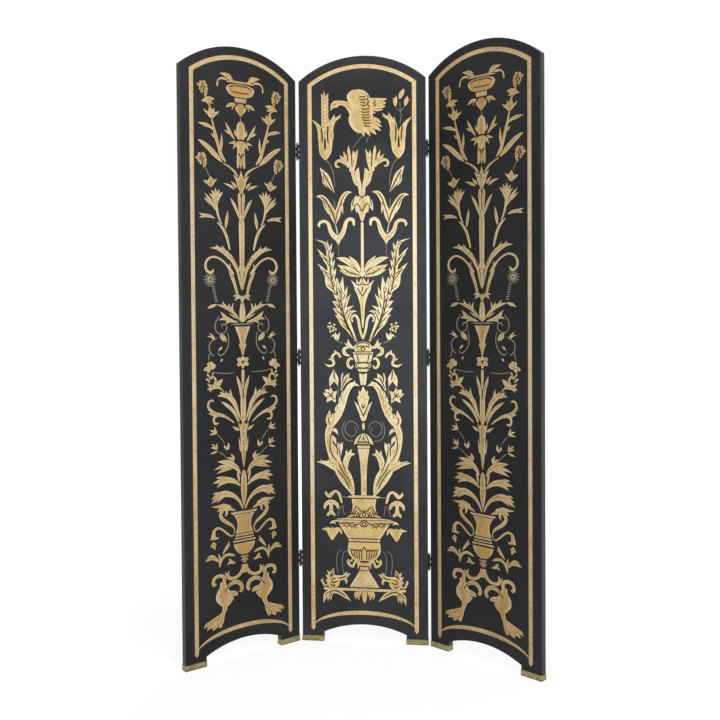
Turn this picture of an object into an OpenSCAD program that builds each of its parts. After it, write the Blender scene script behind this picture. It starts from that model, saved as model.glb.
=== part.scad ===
// Folding screen of three arched panels with gilded ornament, brass shoes and loose-pin hinges.
// The centre panel faces -Y, the side panels fold forward, and the feet stand on Z = 0.

/* [Panel] */
// Width of each panel
panel_w = 396; // [340:1:460]
// Height of the side edges of a panel above the floor
side_h = 1756; // [1500:1:2000]
// Rise of the arched top above the side edges
arch_rise = 73; // [50:1:100]
// Thickness of a finished panel
panel_t = 22; // [20:0.5:30]
// Thickness of each facing board
board_t = 3; // [2:0.25:4.5]
// Width of a stile and of the foot at its end
stile_w = 67; // [55:1:85]
// Height of the straight side of the cut-out between the feet
foot_h = 29; // [22:1:45]
// Rise of the arched top of the cut-out
cutout_rise = 28; // [18:1:36]
// Height of the bottom rail above the crown of the cut-out
bottom_rail_h = 95; // [70:1:140]
// Height of the top rail at its ends
top_rail_h = 110; // [80:1:160]
// Length of the stub tenons on the rails
tenon_l = 25; // [15:1:40]
// Thickness of the stub tenons
tenon_t = 6; // [4:0.5:7]
// Shoulder left above and below a tenon
tenon_shoulder = 14; // [8:1:20]
// Gap left round the tenons and the core board
joint_gap = 0.2; // [0.1:0.05:0.4]

/* [Folding] */
// Angle of the left panel forward of flat
left_fold = 45.5; // [10:0.5:120]
// Angle of the right panel forward of flat
right_fold = 35.6; // [10:0.1:85]
// Gap between neighbouring panels
seam_gap = 9; // [8.5:0.25:12]
// Distance of the hinge axis ahead of the front faces
axis_ahead = 2; // [1.8:0.1:2.4]

/* [Gilding] */
// Thickness of the raised gilding
gilding_t = 0.8; // [0.4:0.1:1]
// Width of the border stripe
stripe_w = 13; // [8:0.5:16]
// Distance of the stripe from the side edges
stripe_side = 28.5; // [22:0.5:34]
// Distance of the stripe from the arched top
stripe_top = 26; // [20:0.5:34]
// Height of the stripe's pointed lower ends
stripe_tip_h = 34; // [24:1:44]
// Height of the middle of the bottom stripe at the panel's centre
stripe_crown_h = 94.5; // [88:0.5:110]
// Height at which the bottom stripe springs from the side stripes
stripe_spring_h = 42; // [38:1:50]

/* [Shoes] */
// Height of a brass shoe
shoe_h = 17; // [12:0.5:24]
// Thickness of a shoe's walls
shoe_wall = 1.2; // [0.8:0.1:1.3]
// Thickness of a shoe's sole
shoe_sole = 2.4; // [2:0.1:4]
// Gap between a shoe's walls and the foot
shoe_gap = 0.1; // [0.05:0.05:0.15]
// Distance between the two screws of a shoe
shoe_screw_pitch = 34; // [20:1:44]

/* [Hinges] */
// Height of a hinge
leaf_h = 45; // [36:1:60]
// Depth of a leaf from the front face of the panel
leaf_d = 17; // [14:0.5:18]
// Thickness of a leaf
leaf_t = 1.6; // [1.2:0.1:2]
// Heights of the three hinges on a seam, as shares of the side edges' height
hinge_height_shares = [0.1492, 0.5097, 0.8759]; // [0.06:0.0001:0.94]
// Outer diameter of the knuckles
knuckle_d = 8; // [7:0.1:8]
// Diameter of the pin
pin_d = 3.2; // [2.4:0.1:4]
// Radial clearance of the pin in its knuckles
pin_clearance = 0.05; // [0.03:0.01:0.08]
// Diameter of the ball on each end of the pin
ball_d = 5.6; // [5:0.1:6.5]
// Gap between neighbouring knuckles
knuckle_gap = 0.3; // [0.2:0.05:0.5]
// Gap round a leaf in its recess
recess_gap = 0.1; // [0.05:0.05:0.2]

/* [Screws] */
// Diameter of a screw's shank
screw_d = 3; // [2.4:0.1:3.4]
// Diameter of a screw's countersunk head
screw_head_d = 6; // [5:0.1:6.4]
// Height of a screw's countersunk head
screw_head_h = 1.5; // [1.2:0.1:1.6]
// Length of a screw with its head
screw_l = 18; // [12:1:22]
// Length of a screw's point
screw_point_l = 4; // [2:0.5:6]
// Width of the slot in a screw's head
slot_w = 0.8; // [0.5:0.1:1]
// Depth of the slot in a screw's head
slot_depth = 0.6; // [0.4:0.1:0.8]
// Radial gap round a screw in its holes
screw_gap = 0.05; // [0.03:0.01:0.1]
// Distance of the hinge screws from the ends of a leaf
screw_edge = 8; // [6:0.5:12]
// Depth of the shoe screws' heads inside the sole
screw_sink = 0.3; // [0.1:0.1:0.6]

/* [Hidden] */
$fn = 48;
// Every cut runs this far past the face it opens
overrun = 1;
knuckles = 5;
hinge_screws = 3;
shoe_screws = 2;
// Place of the hinge screws across a leaf
screw_depth_share = 0.6;
hinge_heights = side_h * hinge_height_shares;
frame_t = panel_t - 2 * board_t;
half_w = panel_w / 2;
top_h = side_h + arch_rise;
arch_r = (pow(half_w, 2) + pow(arch_rise, 2)) / (2 * arch_rise);
cutout_half_w = half_w - stile_w;
cutout_h = foot_h + cutout_rise;
cutout_r = (pow(cutout_half_w, 2) + pow(cutout_rise, 2)) / (2 * cutout_rise);
knuckle_h = leaf_h / knuckles;
// Distance of each hinge axis from the centre of the centre panel
axis_x = half_w + seam_gap / 2;
// Reach of a side panel from its hinge axis to the far side and back of its outer shoe
shoe_out = shoe_gap + shoe_wall;
reach = seam_gap / 2 + panel_w + shoe_out;
reach_back = axis_ahead + panel_t + shoe_out;
reach_front = axis_ahead - shoe_out;
left_edge = -axis_x - reach * cos(left_fold) - reach_back * sin(left_fold);
right_edge = axis_x + reach * cos(right_fold) + reach_back * sin(right_fold);
widest_fold = max(left_fold, right_fold);
front_edge = -axis_ahead - reach * sin(widest_fold) + reach_front * cos(widest_fold);
back_edge = panel_t + shoe_out;
// Middle of the space that the screen stands in, which is the origin of the part
middle = [(left_edge + right_edge) / 2, (front_edge + back_edge) / 2];
// The ornament is drawn on a squared grid that covers a panel, as painters set out a design
grid_shares = [1 / 396, 1 / 1829];
cell = [panel_w * grid_shares[0], top_h * grid_shares[1]];
// How far the drawing is raised at mid height, as shares of the height, fading out above and below
centre_raise_share = 0.0045;
side_raise_share = 0.0014;
lacquer = [0.14, 0.15, 0.16];
gold = [0.86, 0.72, 0.45];
wood = [0.72, 0.58, 0.4];
brass = [0.62, 0.58, 0.4];
bronze = [0.2, 0.17, 0.13];

// Panel-to-screen placing: -1 is the left panel, 0 the centre one and 1 the right one
module on_panel(side) {
  fold = side < 0 ? left_fold : right_fold;
  translate([-middle[0], -middle[1]]) {
    if (side == 0) children();
    else translate([side * axis_x, -axis_ahead]) rotate(-side * fold)
      translate([side * axis_x, axis_ahead]) children();
  }
}

// Edges of a panel that carry hinges
function hinged_edges(side) = side == 0 ? [-1, 1] : [-side];

// Raises a drawing of the front view into a slab that starts at depth y behind the front face
module slab(y, t) {
  translate([0, y + t, 0]) rotate([90, 0, 0]) linear_extrude(height = t) children();
}

module above_arch(r) {
  difference() {
    translate([-half_w - overrun, side_h - (arch_r - r)]) square([panel_w + 2 * overrun, 2 * arch_rise]);
    translate([0, top_h - arch_r]) circle(r = r);
  }
}

module cutout() {
  difference() {
    translate([-cutout_half_w, -overrun]) square([2 * cutout_half_w, cutout_h + overrun]);
    difference() {
      translate([-half_w, foot_h]) square([panel_w, cutout_h]);
      translate([0, cutout_h - cutout_r]) circle(r = cutout_r);
    }
  }
}

module panel_outline() {
  difference() {
    translate([-half_w, shoe_sole]) square([panel_w, top_h - shoe_sole]);
    above_arch(arch_r);
    cutout();
  }
}

// Profile of a screw along its axis, from the head's face at zero to the point
module screw_profile(gap, entry) {
  head_r = screw_head_d / 2 + gap;
  shank_r = screw_d / 2 + gap;
  polygon([[0, -entry], [head_r, -entry], [head_r, 0], [shank_r, screw_head_h],
    [shank_r, screw_l - screw_point_l], [0, screw_l + gap]]);
}

module screw() {
  difference() {
    rotate_extrude() screw_profile(0, 0);
    translate([-screw_head_d, -slot_w / 2, -overrun])
      cube([2 * screw_head_d, slot_w, overrun + slot_depth]);
  }
}

module screw_hole() rotate_extrude() screw_profile(screw_gap, overrun);

// Heads of the hinge screws on one edge, pointing into the panel
module at_hinge_screws(edge) {
  spread = leaf_h - 2 * screw_edge;
  for (h = hinge_heights, i = [0:hinge_screws - 1])
    translate([edge * half_w, leaf_d * screw_depth_share, h + spread * (i / (hinge_screws - 1) - 0.5)])
      rotate([0, -edge * 90, 0]) children();
}

// Heads of the shoe screws under one foot, pointing up
module at_shoe_screws(foot) {
  for (i = [0:shoe_screws - 1])
    translate([foot * (half_w - stile_w / 2) + shoe_screw_pitch * (i - 0.5), panel_t / 2, screw_sink])
      children();
}

// Space that the leaves and screws on one edge take out of the panel
module hinge_recess(edge) {
  for (h = hinge_heights)
    translate([edge > 0 ? half_w - leaf_t : -half_w - overrun, -overrun, h - leaf_h / 2 - recess_gap])
      cube([leaf_t + overrun, leaf_d + overrun + recess_gap, leaf_h + 2 * recess_gap]);
  at_hinge_screws(edge) screw_hole();
}

// Stub tenons, which start inside the ends of a rail, with an allowance for the mortises
module tenons(low, high, allowance) {
  size = [tenon_l + overrun, tenon_t, high - low] + 2 * allowance * [1, 1, 1];
  for (end = [-1, 1])
    translate([end * (cutout_half_w + (tenon_l - overrun) / 2), panel_t / 2, (low + high) / 2])
      cube(size, center = true);
}

bottom_rail_top = cutout_h + bottom_rail_h;
top_rail_bottom = side_h - top_rail_h;
top_tenon = [top_rail_bottom + tenon_shoulder, side_h - tenon_shoulder];
bottom_tenon = [foot_h + cutout_rise + tenon_shoulder, bottom_rail_top - tenon_shoulder];

module stile(side, edge) {
  color(wood) on_panel(side) difference() {
    slab(board_t, frame_t) intersection() {
      panel_outline();
      translate([edge > 0 ? cutout_half_w : -half_w, 0]) square([stile_w, top_h]);
    }
    tenons(top_tenon[0], top_tenon[1], joint_gap);
    tenons(bottom_tenon[0], bottom_tenon[1], joint_gap);
    for (e = hinged_edges(side)) if (e == edge) hinge_recess(edge);
    at_shoe_screws(edge) screw_hole();
  }
}

module rail(side, low, high, tenon) {
  color(wood) on_panel(side) {
    slab(board_t, frame_t) intersection() {
      panel_outline();
      translate([-cutout_half_w, low]) square([2 * cutout_half_w, high - low]);
    }
    tenons(tenon[0], tenon[1], 0);
  }
}

module top_rail(side) rail(side, top_rail_bottom, top_h, top_tenon);
module bottom_rail(side) rail(side, foot_h, bottom_rail_top, bottom_tenon);

module core_board(side) {
  color(wood) on_panel(side) slab(board_t, frame_t)
    translate([-cutout_half_w + joint_gap, bottom_rail_top + joint_gap])
      square([2 * (cutout_half_w - joint_gap), top_rail_bottom - bottom_rail_top - 2 * joint_gap]);
}

module front_board(side) {
  color(lacquer) on_panel(side) difference() {
    slab(0, board_t) panel_outline();
    for (edge = hinged_edges(side)) hinge_recess(edge);
  }
}

module back_board(side) {
  color(lacquer) on_panel(side) slab(panel_t - board_t, board_t) panel_outline();
}

module shoe(side, foot) {
  color(brass) on_panel(side) difference() {
    translate([foot * (half_w - stile_w / 2), panel_t / 2]) difference() {
      linear_extrude(height = shoe_h) offset(r = shoe_wall)
        square([stile_w + 2 * shoe_gap, panel_t + 2 * shoe_gap], center = true);
      translate([0, 0, shoe_sole]) linear_extrude(height = shoe_h)
        square([stile_w + 2 * shoe_gap, panel_t + 2 * shoe_gap], center = true);
    }
    at_shoe_screws(foot) screw_hole();
  }
}

module shoe_screw_group(side) {
  color(brass) on_panel(side) for (foot = [-1, 1]) at_shoe_screws(foot) screw();
}

module hinge_screw_group(side) {
  color(bronze) on_panel(side) for (edge = hinged_edges(side)) at_hinge_screws(edge) screw();
}

// Places a hinge part at its axis on one edge of a panel
module at_hinge(side, edge, place) {
  on_panel(side) translate([edge * axis_x, -axis_ahead, hinge_heights[place]]) children();
}

// Knuckle number i, counted from the bottom, with the web that joins it to its leaf
module knuckle(i, edge) {
  translate([0, 0, (i - (knuckles - 1) / 2) * knuckle_h]) {
    cylinder(d = knuckle_d, h = knuckle_h - knuckle_gap, center = true);
    translate([edge > 0 ? -seam_gap / 2 - leaf_t : 0, axis_ahead, (knuckle_gap - knuckle_h) / 2])
      cube([seam_gap / 2 + leaf_t, leaf_t, knuckle_h - knuckle_gap]);
  }
}

// The centre panel's leaf has the odd number of knuckles, the side panel's leaf those between them
module hinge_leaf(side, edge, place) {
  first = side == 0 ? 0 : 1;
  color(bronze) difference() {
    at_hinge(side, edge, place) difference() {
      union() {
        translate([edge > 0 ? -seam_gap / 2 - leaf_t : seam_gap / 2, axis_ahead, -leaf_h / 2])
          cube([leaf_t, leaf_d, leaf_h]);
        for (i = [first:2:knuckles - 1]) knuckle(i, edge);
      }
      cylinder(r = pin_d / 2 + pin_clearance, h = leaf_h + 2 * overrun, center = true);
    }
    on_panel(side) at_hinge_screws(edge) screw_hole();
  }
}

module hinge_pin(edge, place) {
  color(bronze) at_hinge(0, edge, place) {
    cylinder(d = pin_d, h = leaf_h + ball_d, center = true);
    for (end = [-1, 1]) translate([0, 0, end * (leaf_h + ball_d) / 2]) sphere(d = ball_d);
  }
}

// Points on a circular arc about the panel's centreline, from one side to the other
arc_steps = 28;
function arch_line(r, reach_x) = [for (i = [0:arc_steps])
  let(a = asin(reach_x / r) * (1 - 2 * i / arc_steps)) [-r * sin(a), top_h - arch_r + r * cos(a)]];
// Points on the upper half of an ellipse about the centreline
function spring_line(half_x, rise, reach_x) = [for (i = [0:arc_steps])
  let(a = asin(reach_x / half_x) * (1 - 2 * i / arc_steps))
  [-half_x * sin(a), stripe_spring_h + rise * cos(a)]];
function reversed(p) = [for (i = [len(p) - 1:-1:0]) p[i]];

module gold_border(side) {
  outer_x = half_w - stripe_side;
  middle_x = outer_x - stripe_w / 2;
  inner_x = outer_x - stripe_w;
  r = arch_r - stripe_top;
  low_rise = stripe_crown_h - stripe_w / 2 - stripe_spring_h;
  outside = concat([[-middle_x, stripe_tip_h], [-outer_x, stripe_spring_h]], arch_line(r, outer_x),
    [[outer_x, stripe_spring_h], [middle_x, stripe_tip_h]],
    reversed(spring_line(middle_x, low_rise, middle_x)));
  inside = concat(arch_line(r - stripe_w, inner_x),
    reversed(spring_line(middle_x, low_rise + stripe_w, inner_x)));
  color(gold) on_panel(side) slab(-gilding_t, gilding_t) polygon(concat(outside, inside), [
    [for (i = [0:len(outside) - 1]) i],
    [for (i = [0:len(inside) - 1]) len(outside) + i]]);
}

// Brush strokes: each is a list of grid places and widths, joined by a smooth curve
stroke_steps = 2;
function curve_point(p, i, t) =
  let(a = p[max(i - 1, 0)], b = p[i], c = p[i + 1], d = p[min(i + 2, len(p) - 1)])
  b + ((c - a) * t + (2 * a - 5 * b + 4 * c - d) * pow(t, 2) + (3 * b - a - 3 * c + d) * pow(t, 3)) / 2;
function curve(p) = concat(
  [for (i = [0:len(p) - 2]) for (j = [0:stroke_steps - 1]) curve_point(p, i, j / stroke_steps)],
  [p[len(p) - 1]]);
// Height of a place on the grid, with the raise that the ornament of the panel sets
function raised(up) = let(t = up * grid_shares[1]) top_h * (t + 4 * $raise_share * t * (1 - t));
function on_grid(shares) = [for (s = shares) [s[0] * cell[0], raised(s[1]), s[2] * cell[0]]];
function flat(p) = [p[0], p[1]];
function heading(c, i) = let(v = flat(c[min(i + 1, len(c) - 1)]) - flat(c[max(i - 1, 0)])) v / norm(v);
function bank(c, turn) = [for (i = [0:len(c) - 1])
  let(v = heading(c, i)) flat(c[i]) + turn * [-v[1], v[0]] * max(c[i][2], 0) / 2];

module stroke(shares) {
  c = curve(on_grid(shares));
  polygon(concat(bank(c, 1), reversed(bank(c, -1))));
}

// One motif, as a flat raised piece
module motif(strokes) {
  linear_extrude(height = gilding_t) offset(delta = 0) for (s = strokes) stroke(s);
}

// A motif on each side of the centreline
module paired(strokes) for (m = [0, 1]) mirror([m, 0]) motif(strokes);

// A motif on the centreline, drawn with its mirror image
module centred(strokes) {
  linear_extrude(height = gilding_t) offset(delta = 0)
    for (m = [0, 1]) mirror([m, 0]) for (s = strokes) stroke(s);
}

// Turned vessel: groups of touching bands, each [height below, height above, width below, width above]
module bands(groups) {
  linear_extrude(height = gilding_t) offset(delta = 0) for (g = groups, b = g) {
    low = raised(b[0]);
    high = raised(b[1]);
    polygon([[-b[2] * cell[0] / 2, low], [b[2] * cell[0] / 2, low],
      [b[3] * cell[0] / 2, high], [-b[3] * cell[0] / 2, high]]);
  }
}

// Ornament of the centre panel. The tables hold shares: places and widths on the squared grid,
// counted from the centreline and the floor, each row [across, up, width]

bird_shares = [
  [[-18, 1652, 34], [-36, 1676, 22], [-56, 1688, 17], [-76, 1689, 17], [-88, 1680, 10], [-94, 1664, 0]],
  [[-24, 1674, 8], [-12, 1654, 42], [-10, 1632, 54], [0, 1612, 46], [14, 1600, 22], [24, 1592, 0]],
  [[-6, 1662, 36], [-9, 1684, 42], [-13, 1702, 48], [-14, 1716, 42], [-14, 1728, 16]],
  [[-2, 1718, 14], [12, 1710, 12], [24, 1698, 8], [34, 1688, 0]],
  [[6, 1690, 26], [12, 1672, 26], [12, 1654, 26], [10, 1636, 22]],
  [[8, 1704, 10], [26, 1702, 9], [44, 1695, 0]],
  [[14, 1694, 7], [44, 1690, 8], [66, 1689, 7], [86, 1693, 0]],
  [[16, 1686, 7], [46, 1682, 8], [68, 1680, 6], [84, 1683, 0]],
  [[16, 1678, 7], [46, 1674, 8], [64, 1671, 6], [80, 1672, 0]],
  [[16, 1670, 7], [42, 1666, 8], [60, 1664, 5], [76, 1666, 0]],
  [[14, 1661, 7], [36, 1658, 7], [58, 1657, 0]],
  [[10, 1651, 7], [26, 1649, 6], [40, 1643, 0]],
  [[10, 1641, 7], [26, 1639, 6], [40, 1634, 0]],
  [[8, 1632, 7], [30, 1631, 7], [64, 1626, 0]],
  [[10, 1623, 7], [34, 1621, 8], [66, 1612, 0]],
  [[8, 1614, 7], [34, 1611, 8], [64, 1599, 0]],
  [[6, 1607, 7], [30, 1602, 8], [56, 1587, 0]],
  [[2, 1602, 7], [20, 1595, 8], [38, 1579, 0]],
  [[-4, 1601, 7], [8, 1592, 7], [20, 1577, 0]],
  [[-8, 1601, 6], [-4, 1592, 6], [2, 1580, 0]],
  [[-12, 1603, 5], [-12, 1594, 5], [-16, 1585, 0]]];
bird_leg_shares = [
  [[2, 1578, 2], [-12, 1560, 1.5], [-28, 1543, 1.5]],
  [[22, 1576, 2], [18, 1566, 1.5], [14, 1555, 1.5]]];

calyx_shares = [
  [[114, 1506, 5], [106, 1530, 17], [102, 1558, 17], [100, 1588, 17], [97, 1614, 18], [84, 1632, 11],
    [64, 1637, 0]],
  [[114, 1506, 5], [122, 1528, 17], [126, 1556, 15], [129, 1588, 13], [136, 1612, 10], [156, 1634, 0]],
  [[114, 1514, 10], [114, 1530, 18], [114, 1546, 12]],
  [[99, 1600, 10], [101, 1618, 8], [102, 1634, 0]],
  [[94, 1616, 10], [90, 1632, 8], [84, 1648, 0]],
  [[80, 1632, 8], [72, 1638, 6], [64, 1647, 0]],
  [[96, 1606, 4], [91, 1584, 6], [92, 1560, 0]],
  [[134, 1604, 4], [134, 1578, 5], [131, 1548, 0]],
  [[108, 1566, 8], [109, 1586, 10], [107, 1606, 0]],
  [[121, 1566, 6], [121, 1590, 8], [125, 1609, 0]]];

grains = 9;
grain_rise_share = 12.5;
grain_place_shares = [-115, 1596];
grain_shares = [[0, 0, 3], [7, 8, 6], [11, 19, 0]];
wheat_shares = concat(
  [for (i = [0:grains - 1], s = [-1, 1]) [for (g = grain_shares)
    [grain_place_shares[0] + s * g[0], grain_place_shares[1] + grain_rise_share * i + g[1], g[2]]]],
  [[[-115, 1594, 5], [-115, 1660, 5], [-116, 1704, 5], [-117, 1722, 0]]]);

bud_shares = [
  [[[118, 1690, 4], [124, 1704, 12], [132, 1719, 3]]],
  [[[106, 1667, 3], [105, 1684, 11], [109, 1699, 0]], [[102, 1682, 4], [97, 1694, 0]]],
  [[[135, 1667, 3], [139, 1682, 11], [143, 1697, 0]], [[142, 1680, 4], [150, 1690, 0]]],
  [[[119, 1612, 1.6], [123, 1636, 1.6], [121, 1654, 1.6], [119, 1682, 1.2]], [[121, 1650, 1.6],
    [112, 1658, 1.4], [107, 1663, 1]], [[121, 1652, 1.6], [128, 1658, 1.4], [134, 1664, 1]]]];

palmette_shares = [
  [[32, 1466, 12], [24, 1498, 13], [18, 1518, 8], [12, 1537, 0]],
  [[34, 1470, 10], [29, 1505, 10], [25, 1520, 8], [27, 1533, 0]],
  [[40, 1480, 10], [41, 1505, 13], [41, 1528, 9], [41, 1549, 0]],
  [[46, 1496, 8], [51, 1512, 9], [57, 1532, 0]],
  [[48, 1494, 8], [58, 1505, 9], [69, 1519, 0]],
  [[44, 1488, 8], [60, 1499, 9], [74, 1502, 7], [82, 1493, 6], [78, 1483, 5], [70, 1483, 3]],
  [[9, 1479, 0], [14, 1466, 11], [13, 1444, 12], [8, 1428, 10], [6, 1412, 9]],
  [[31, 1482, 9], [28, 1458, 8], [21, 1434, 8], [12, 1420, 2]],
  [[28, 1478, 0], [22, 1460, 5], [22, 1444, 0]]];
tube_shares = [
  [[0, 1421, 8], [0, 1410, 17], [0, 1396, 15], [0, 1389, 10]]];
lotus_shares = [
  [[0, 1390, 12], [0, 1376, 24], [0, 1357, 22], [0, 1341, 12], [0, 1326, 14], [0, 1311, 4]],
  [[13, 1388, 10], [20, 1374, 13], [17, 1356, 11], [22, 1334, 0]],
  [[17, 1388, 8], [29, 1374, 10], [34, 1356, 9], [38, 1340, 0]]];
mast_shares = [
  [[[0, 1308, 8], [0, 1230, 9], [0, 1150, 9], [0, 1138, 4]]],
  [[[0, 838, 20], [0, 824, 19], [0, 801, 13]]]];

side_leaf_shares = [
  [[87, 1402, 2], [98, 1422, 11], [112, 1450, 18], [124, 1470, 9], [132, 1482, 0]],
  [[120, 1456, 5], [119, 1436, 8], [109, 1419, 0]],
  [[87, 1402, 2], [88, 1380, 2], [85, 1353, 2]]];
wire_shares = [
  [[112, 1504, 2.4], [99, 1490, 2], [89, 1458, 2], [85, 1420, 1.6]]];
vee_shares = [
  [[84, 1304, 3], [88, 1326, 17], [99, 1352, 15], [116, 1380, 13], [130, 1391, 10], [146, 1391, 0]],
  [[122, 1379, 5], [113, 1356, 9], [101, 1328, 0]],
  [[84, 1304, 3], [80, 1328, 17], [72, 1354, 13], [61, 1384, 13], [48, 1400, 10], [31, 1403, 0]],
  [[66, 1378, 4], [64, 1358, 8], [60, 1334, 0]]];
volute_shares = [
  [[75, 1240, 2], [76, 1256, 14], [90, 1268, 13], [100, 1284, 11], [106, 1304, 9], [118, 1313, 8],
    [131, 1310, 8], [137, 1301, 6], [133, 1295, 3]],
  [[75, 1240, 2], [75, 1256, 14], [63, 1272, 13], [55, 1292, 11], [50, 1310, 9], [39, 1319, 9],
    [28, 1314, 9], [26, 1298, 5]],
  [[78, 1274, 4], [81, 1290, 2.4], [84, 1303, 2]]];
drop_wire_shares = [
  [[75, 1240, 2], [75, 1222, 1.6], [74, 1202, 1.4]]];

mid_leaf_shares = [
  [[5, 1148, 4], [24, 1168, 12], [46, 1186, 15], [64, 1194, 11], [82, 1198, 0]],
  [[6, 1158, 3], [18, 1178, 9], [30, 1190, 9], [42, 1204, 0]],
  [[4, 1143, 6], [28, 1153, 16], [54, 1163, 16], [79, 1176, 0]],
  [[8, 1139, 5], [32, 1145, 10], [52, 1151, 10], [74, 1160, 0]]];
thistle_shares = [
  [[0, 1134, 6], [0, 1118, 14], [0, 1100, 22], [0, 1082, 32], [0, 1064, 22], [0, 1046, 14], [0, 1010, 9],
    [0, 976, 5]],
  [[8, 1100, 8], [15, 1116, 8], [18, 1133, 0]],
  [[11, 1094, 8], [22, 1110, 8], [36, 1128, 0]],
  [[12, 1084, 8], [20, 1096, 7], [28, 1110, 0]]];
hook_shares = [
  [[0, 944, 4], [6, 962, 6], [11, 984, 7], [14, 1004, 7], [22, 1017, 7], [32, 1015, 6], [35, 1004, 5],
    [30, 998, 3]]];

low_frond_shares = [
  [[20, 936, 4], [38, 968, 15], [54, 1004, 22], [64, 1040, 24], [68, 1070, 18], [66, 1104, 14],
    [62, 1139, 0]],
  [[44, 972, 10], [62, 990, 11], [78, 1002, 0]],
  [[52, 990, 12], [72, 1010, 12], [88, 1020, 0]],
  [[58, 1010, 12], [80, 1032, 12], [94, 1040, 0]],
  [[64, 1034, 12], [82, 1054, 12], [96, 1063, 0]],
  [[66, 1056, 12], [80, 1074, 11], [92, 1083, 0]],
  [[68, 1084, 10], [76, 1106, 10], [78, 1133, 0]],
  [[50, 1000, 10], [43, 1020, 10], [33, 1030, 7], [19, 1030, 0]],
  [[54, 1019.5, 10], [46, 1038, 9], [28, 1048, 0]],
  [[59, 1038, 10], [52, 1060, 11], [38, 1084, 0]],
  [[62, 1065.5, 10], [54, 1086, 9], [48, 1108, 0]]];
high_frond_shares = [
  [[86, 1086, 6], [93, 1106, 16], [98, 1136, 17], [102, 1176, 15], [106, 1216, 12], [111, 1253, 0]],
  [[93, 1098, 10], [108, 1114, 13], [119, 1143, 0]],
  [[98, 1126, 10], [114, 1148, 12], [126, 1165, 7], [141, 1180, 0]],
  [[100, 1144, 8], [118, 1157, 8], [134, 1165, 0]],
  [[102, 1170, 10], [116, 1192, 11], [128, 1210, 7], [142, 1227, 0]],
  [[104, 1184, 8], [120, 1200, 8], [136, 1208, 0]],
  [[106, 1216, 8], [114, 1238, 8], [124, 1248, 5], [147, 1256, 0]],
  [[93, 1104, 8], [86, 1118, 8], [80, 1137, 0]],
  [[97, 1130, 8], [89, 1148, 8], [83, 1166, 0]],
  [[101, 1158, 8], [93, 1176, 7], [87, 1192, 0]],
  [[104, 1184, 7], [96, 1202, 7], [91, 1218, 0]],
  [[106, 1210, 6], [100, 1228, 6], [96, 1244, 0]]];

berry_calyx_shares = [
  [[84, 940, 2], [84, 950, 14], [92, 956, 6], [101, 951, 0]],
  [[82, 944, 10], [76, 956, 6], [72, 965, 0]],
  [[85, 948, 10], [86, 958, 5], [88, 966, 0]]];
urn_bands_shares = [
  [[840, 848, 10, 30]],
  [[849.5, 864, 40, 48]],
  [[865.5, 871, 50, 54]],
  [[872.5, 897, 50, 62]],
  [[898.5, 903, 64, 64]],
  [[904.5, 923, 46, 54]],
  [[924.5, 930, 46, 38], [930, 936, 38, 20]]];
urn_scroll_shares = [
  [[32, 880, 4], [40, 884, 6], [48, 873, 7], [46, 859, 7], [37, 854, 6], [31, 862, 3]]];
urn_leaf_shares = [
  [[24, 916, 3], [36, 919, 8], [44, 926, 10], [47, 944, 0]],
  [[42, 920, 8], [50, 926, 6], [58, 932, 0]],
  [[46, 918, 5], [58, 914, 9], [60, 902, 9], [50, 894, 7], [40, 892, 0]]];
ribbon_shares = [
  [[[71, 886, 6], [76, 896, 8], [86, 903, 7], [90, 910, 0]],
    [[84, 902, 7], [94, 894, 9], [98, 884, 8], [90, 882, 0]]],
  [[[108, 882, 4], [96, 878, 8], [92, 868, 9], [98, 860, 8]], [[94, 862, 7], [108, 860, 7],
    [122, 867, 0]]]];
ivy_shares = [
  [[[93, 850, 0], [92, 834, 12], [86, 818, 14], [80, 798, 0]],
    [[93, 846, 0], [95, 830, 13], [100, 814, 13], [106, 795, 0]]],
  [[[70, 784, 2], [62, 806, 11], [52, 824, 12], [44, 838, 0]], [[64, 806, 7], [66, 822, 8], [64, 840, 0]],
    [[60, 806, 7], [48, 816, 8], [33, 821, 0]]],
  [[[86, 784, 0], [98, 770, 11], [110, 764, 12], [124, 775, 0]], [[98, 764, 8], [110, 772, 8],
    [118, 786, 0]], [[102, 768, 9], [96, 758, 10], [90, 746, 0]], [[104, 768, 9], [110, 758, 10],
    [118, 746, 0]]],
  [[[78, 800, 1.6], [80, 776, 1.6], [76, 752, 1.6]], [[80, 776, 1.4], [74, 782, 1.4], [70, 790, 1.4]]]];
spear_shares = [
  [[0, 689, 8], [0, 706, 20], [0, 722, 14], [0, 744, 24], [0, 764, 28], [0, 780, 14], [0, 797, 0]],
  [[6, 704, 6], [15, 728, 8], [28, 750, 0]],
  [[9, 752, 8], [15, 760, 6], [18, 768, 0]],
  [[7, 766, 8], [11, 776, 6], [14, 784, 0]]];
drop_shares = [
  [[[0, 662, 4], [0, 672, 7], [0, 683, 4]]]];

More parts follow.
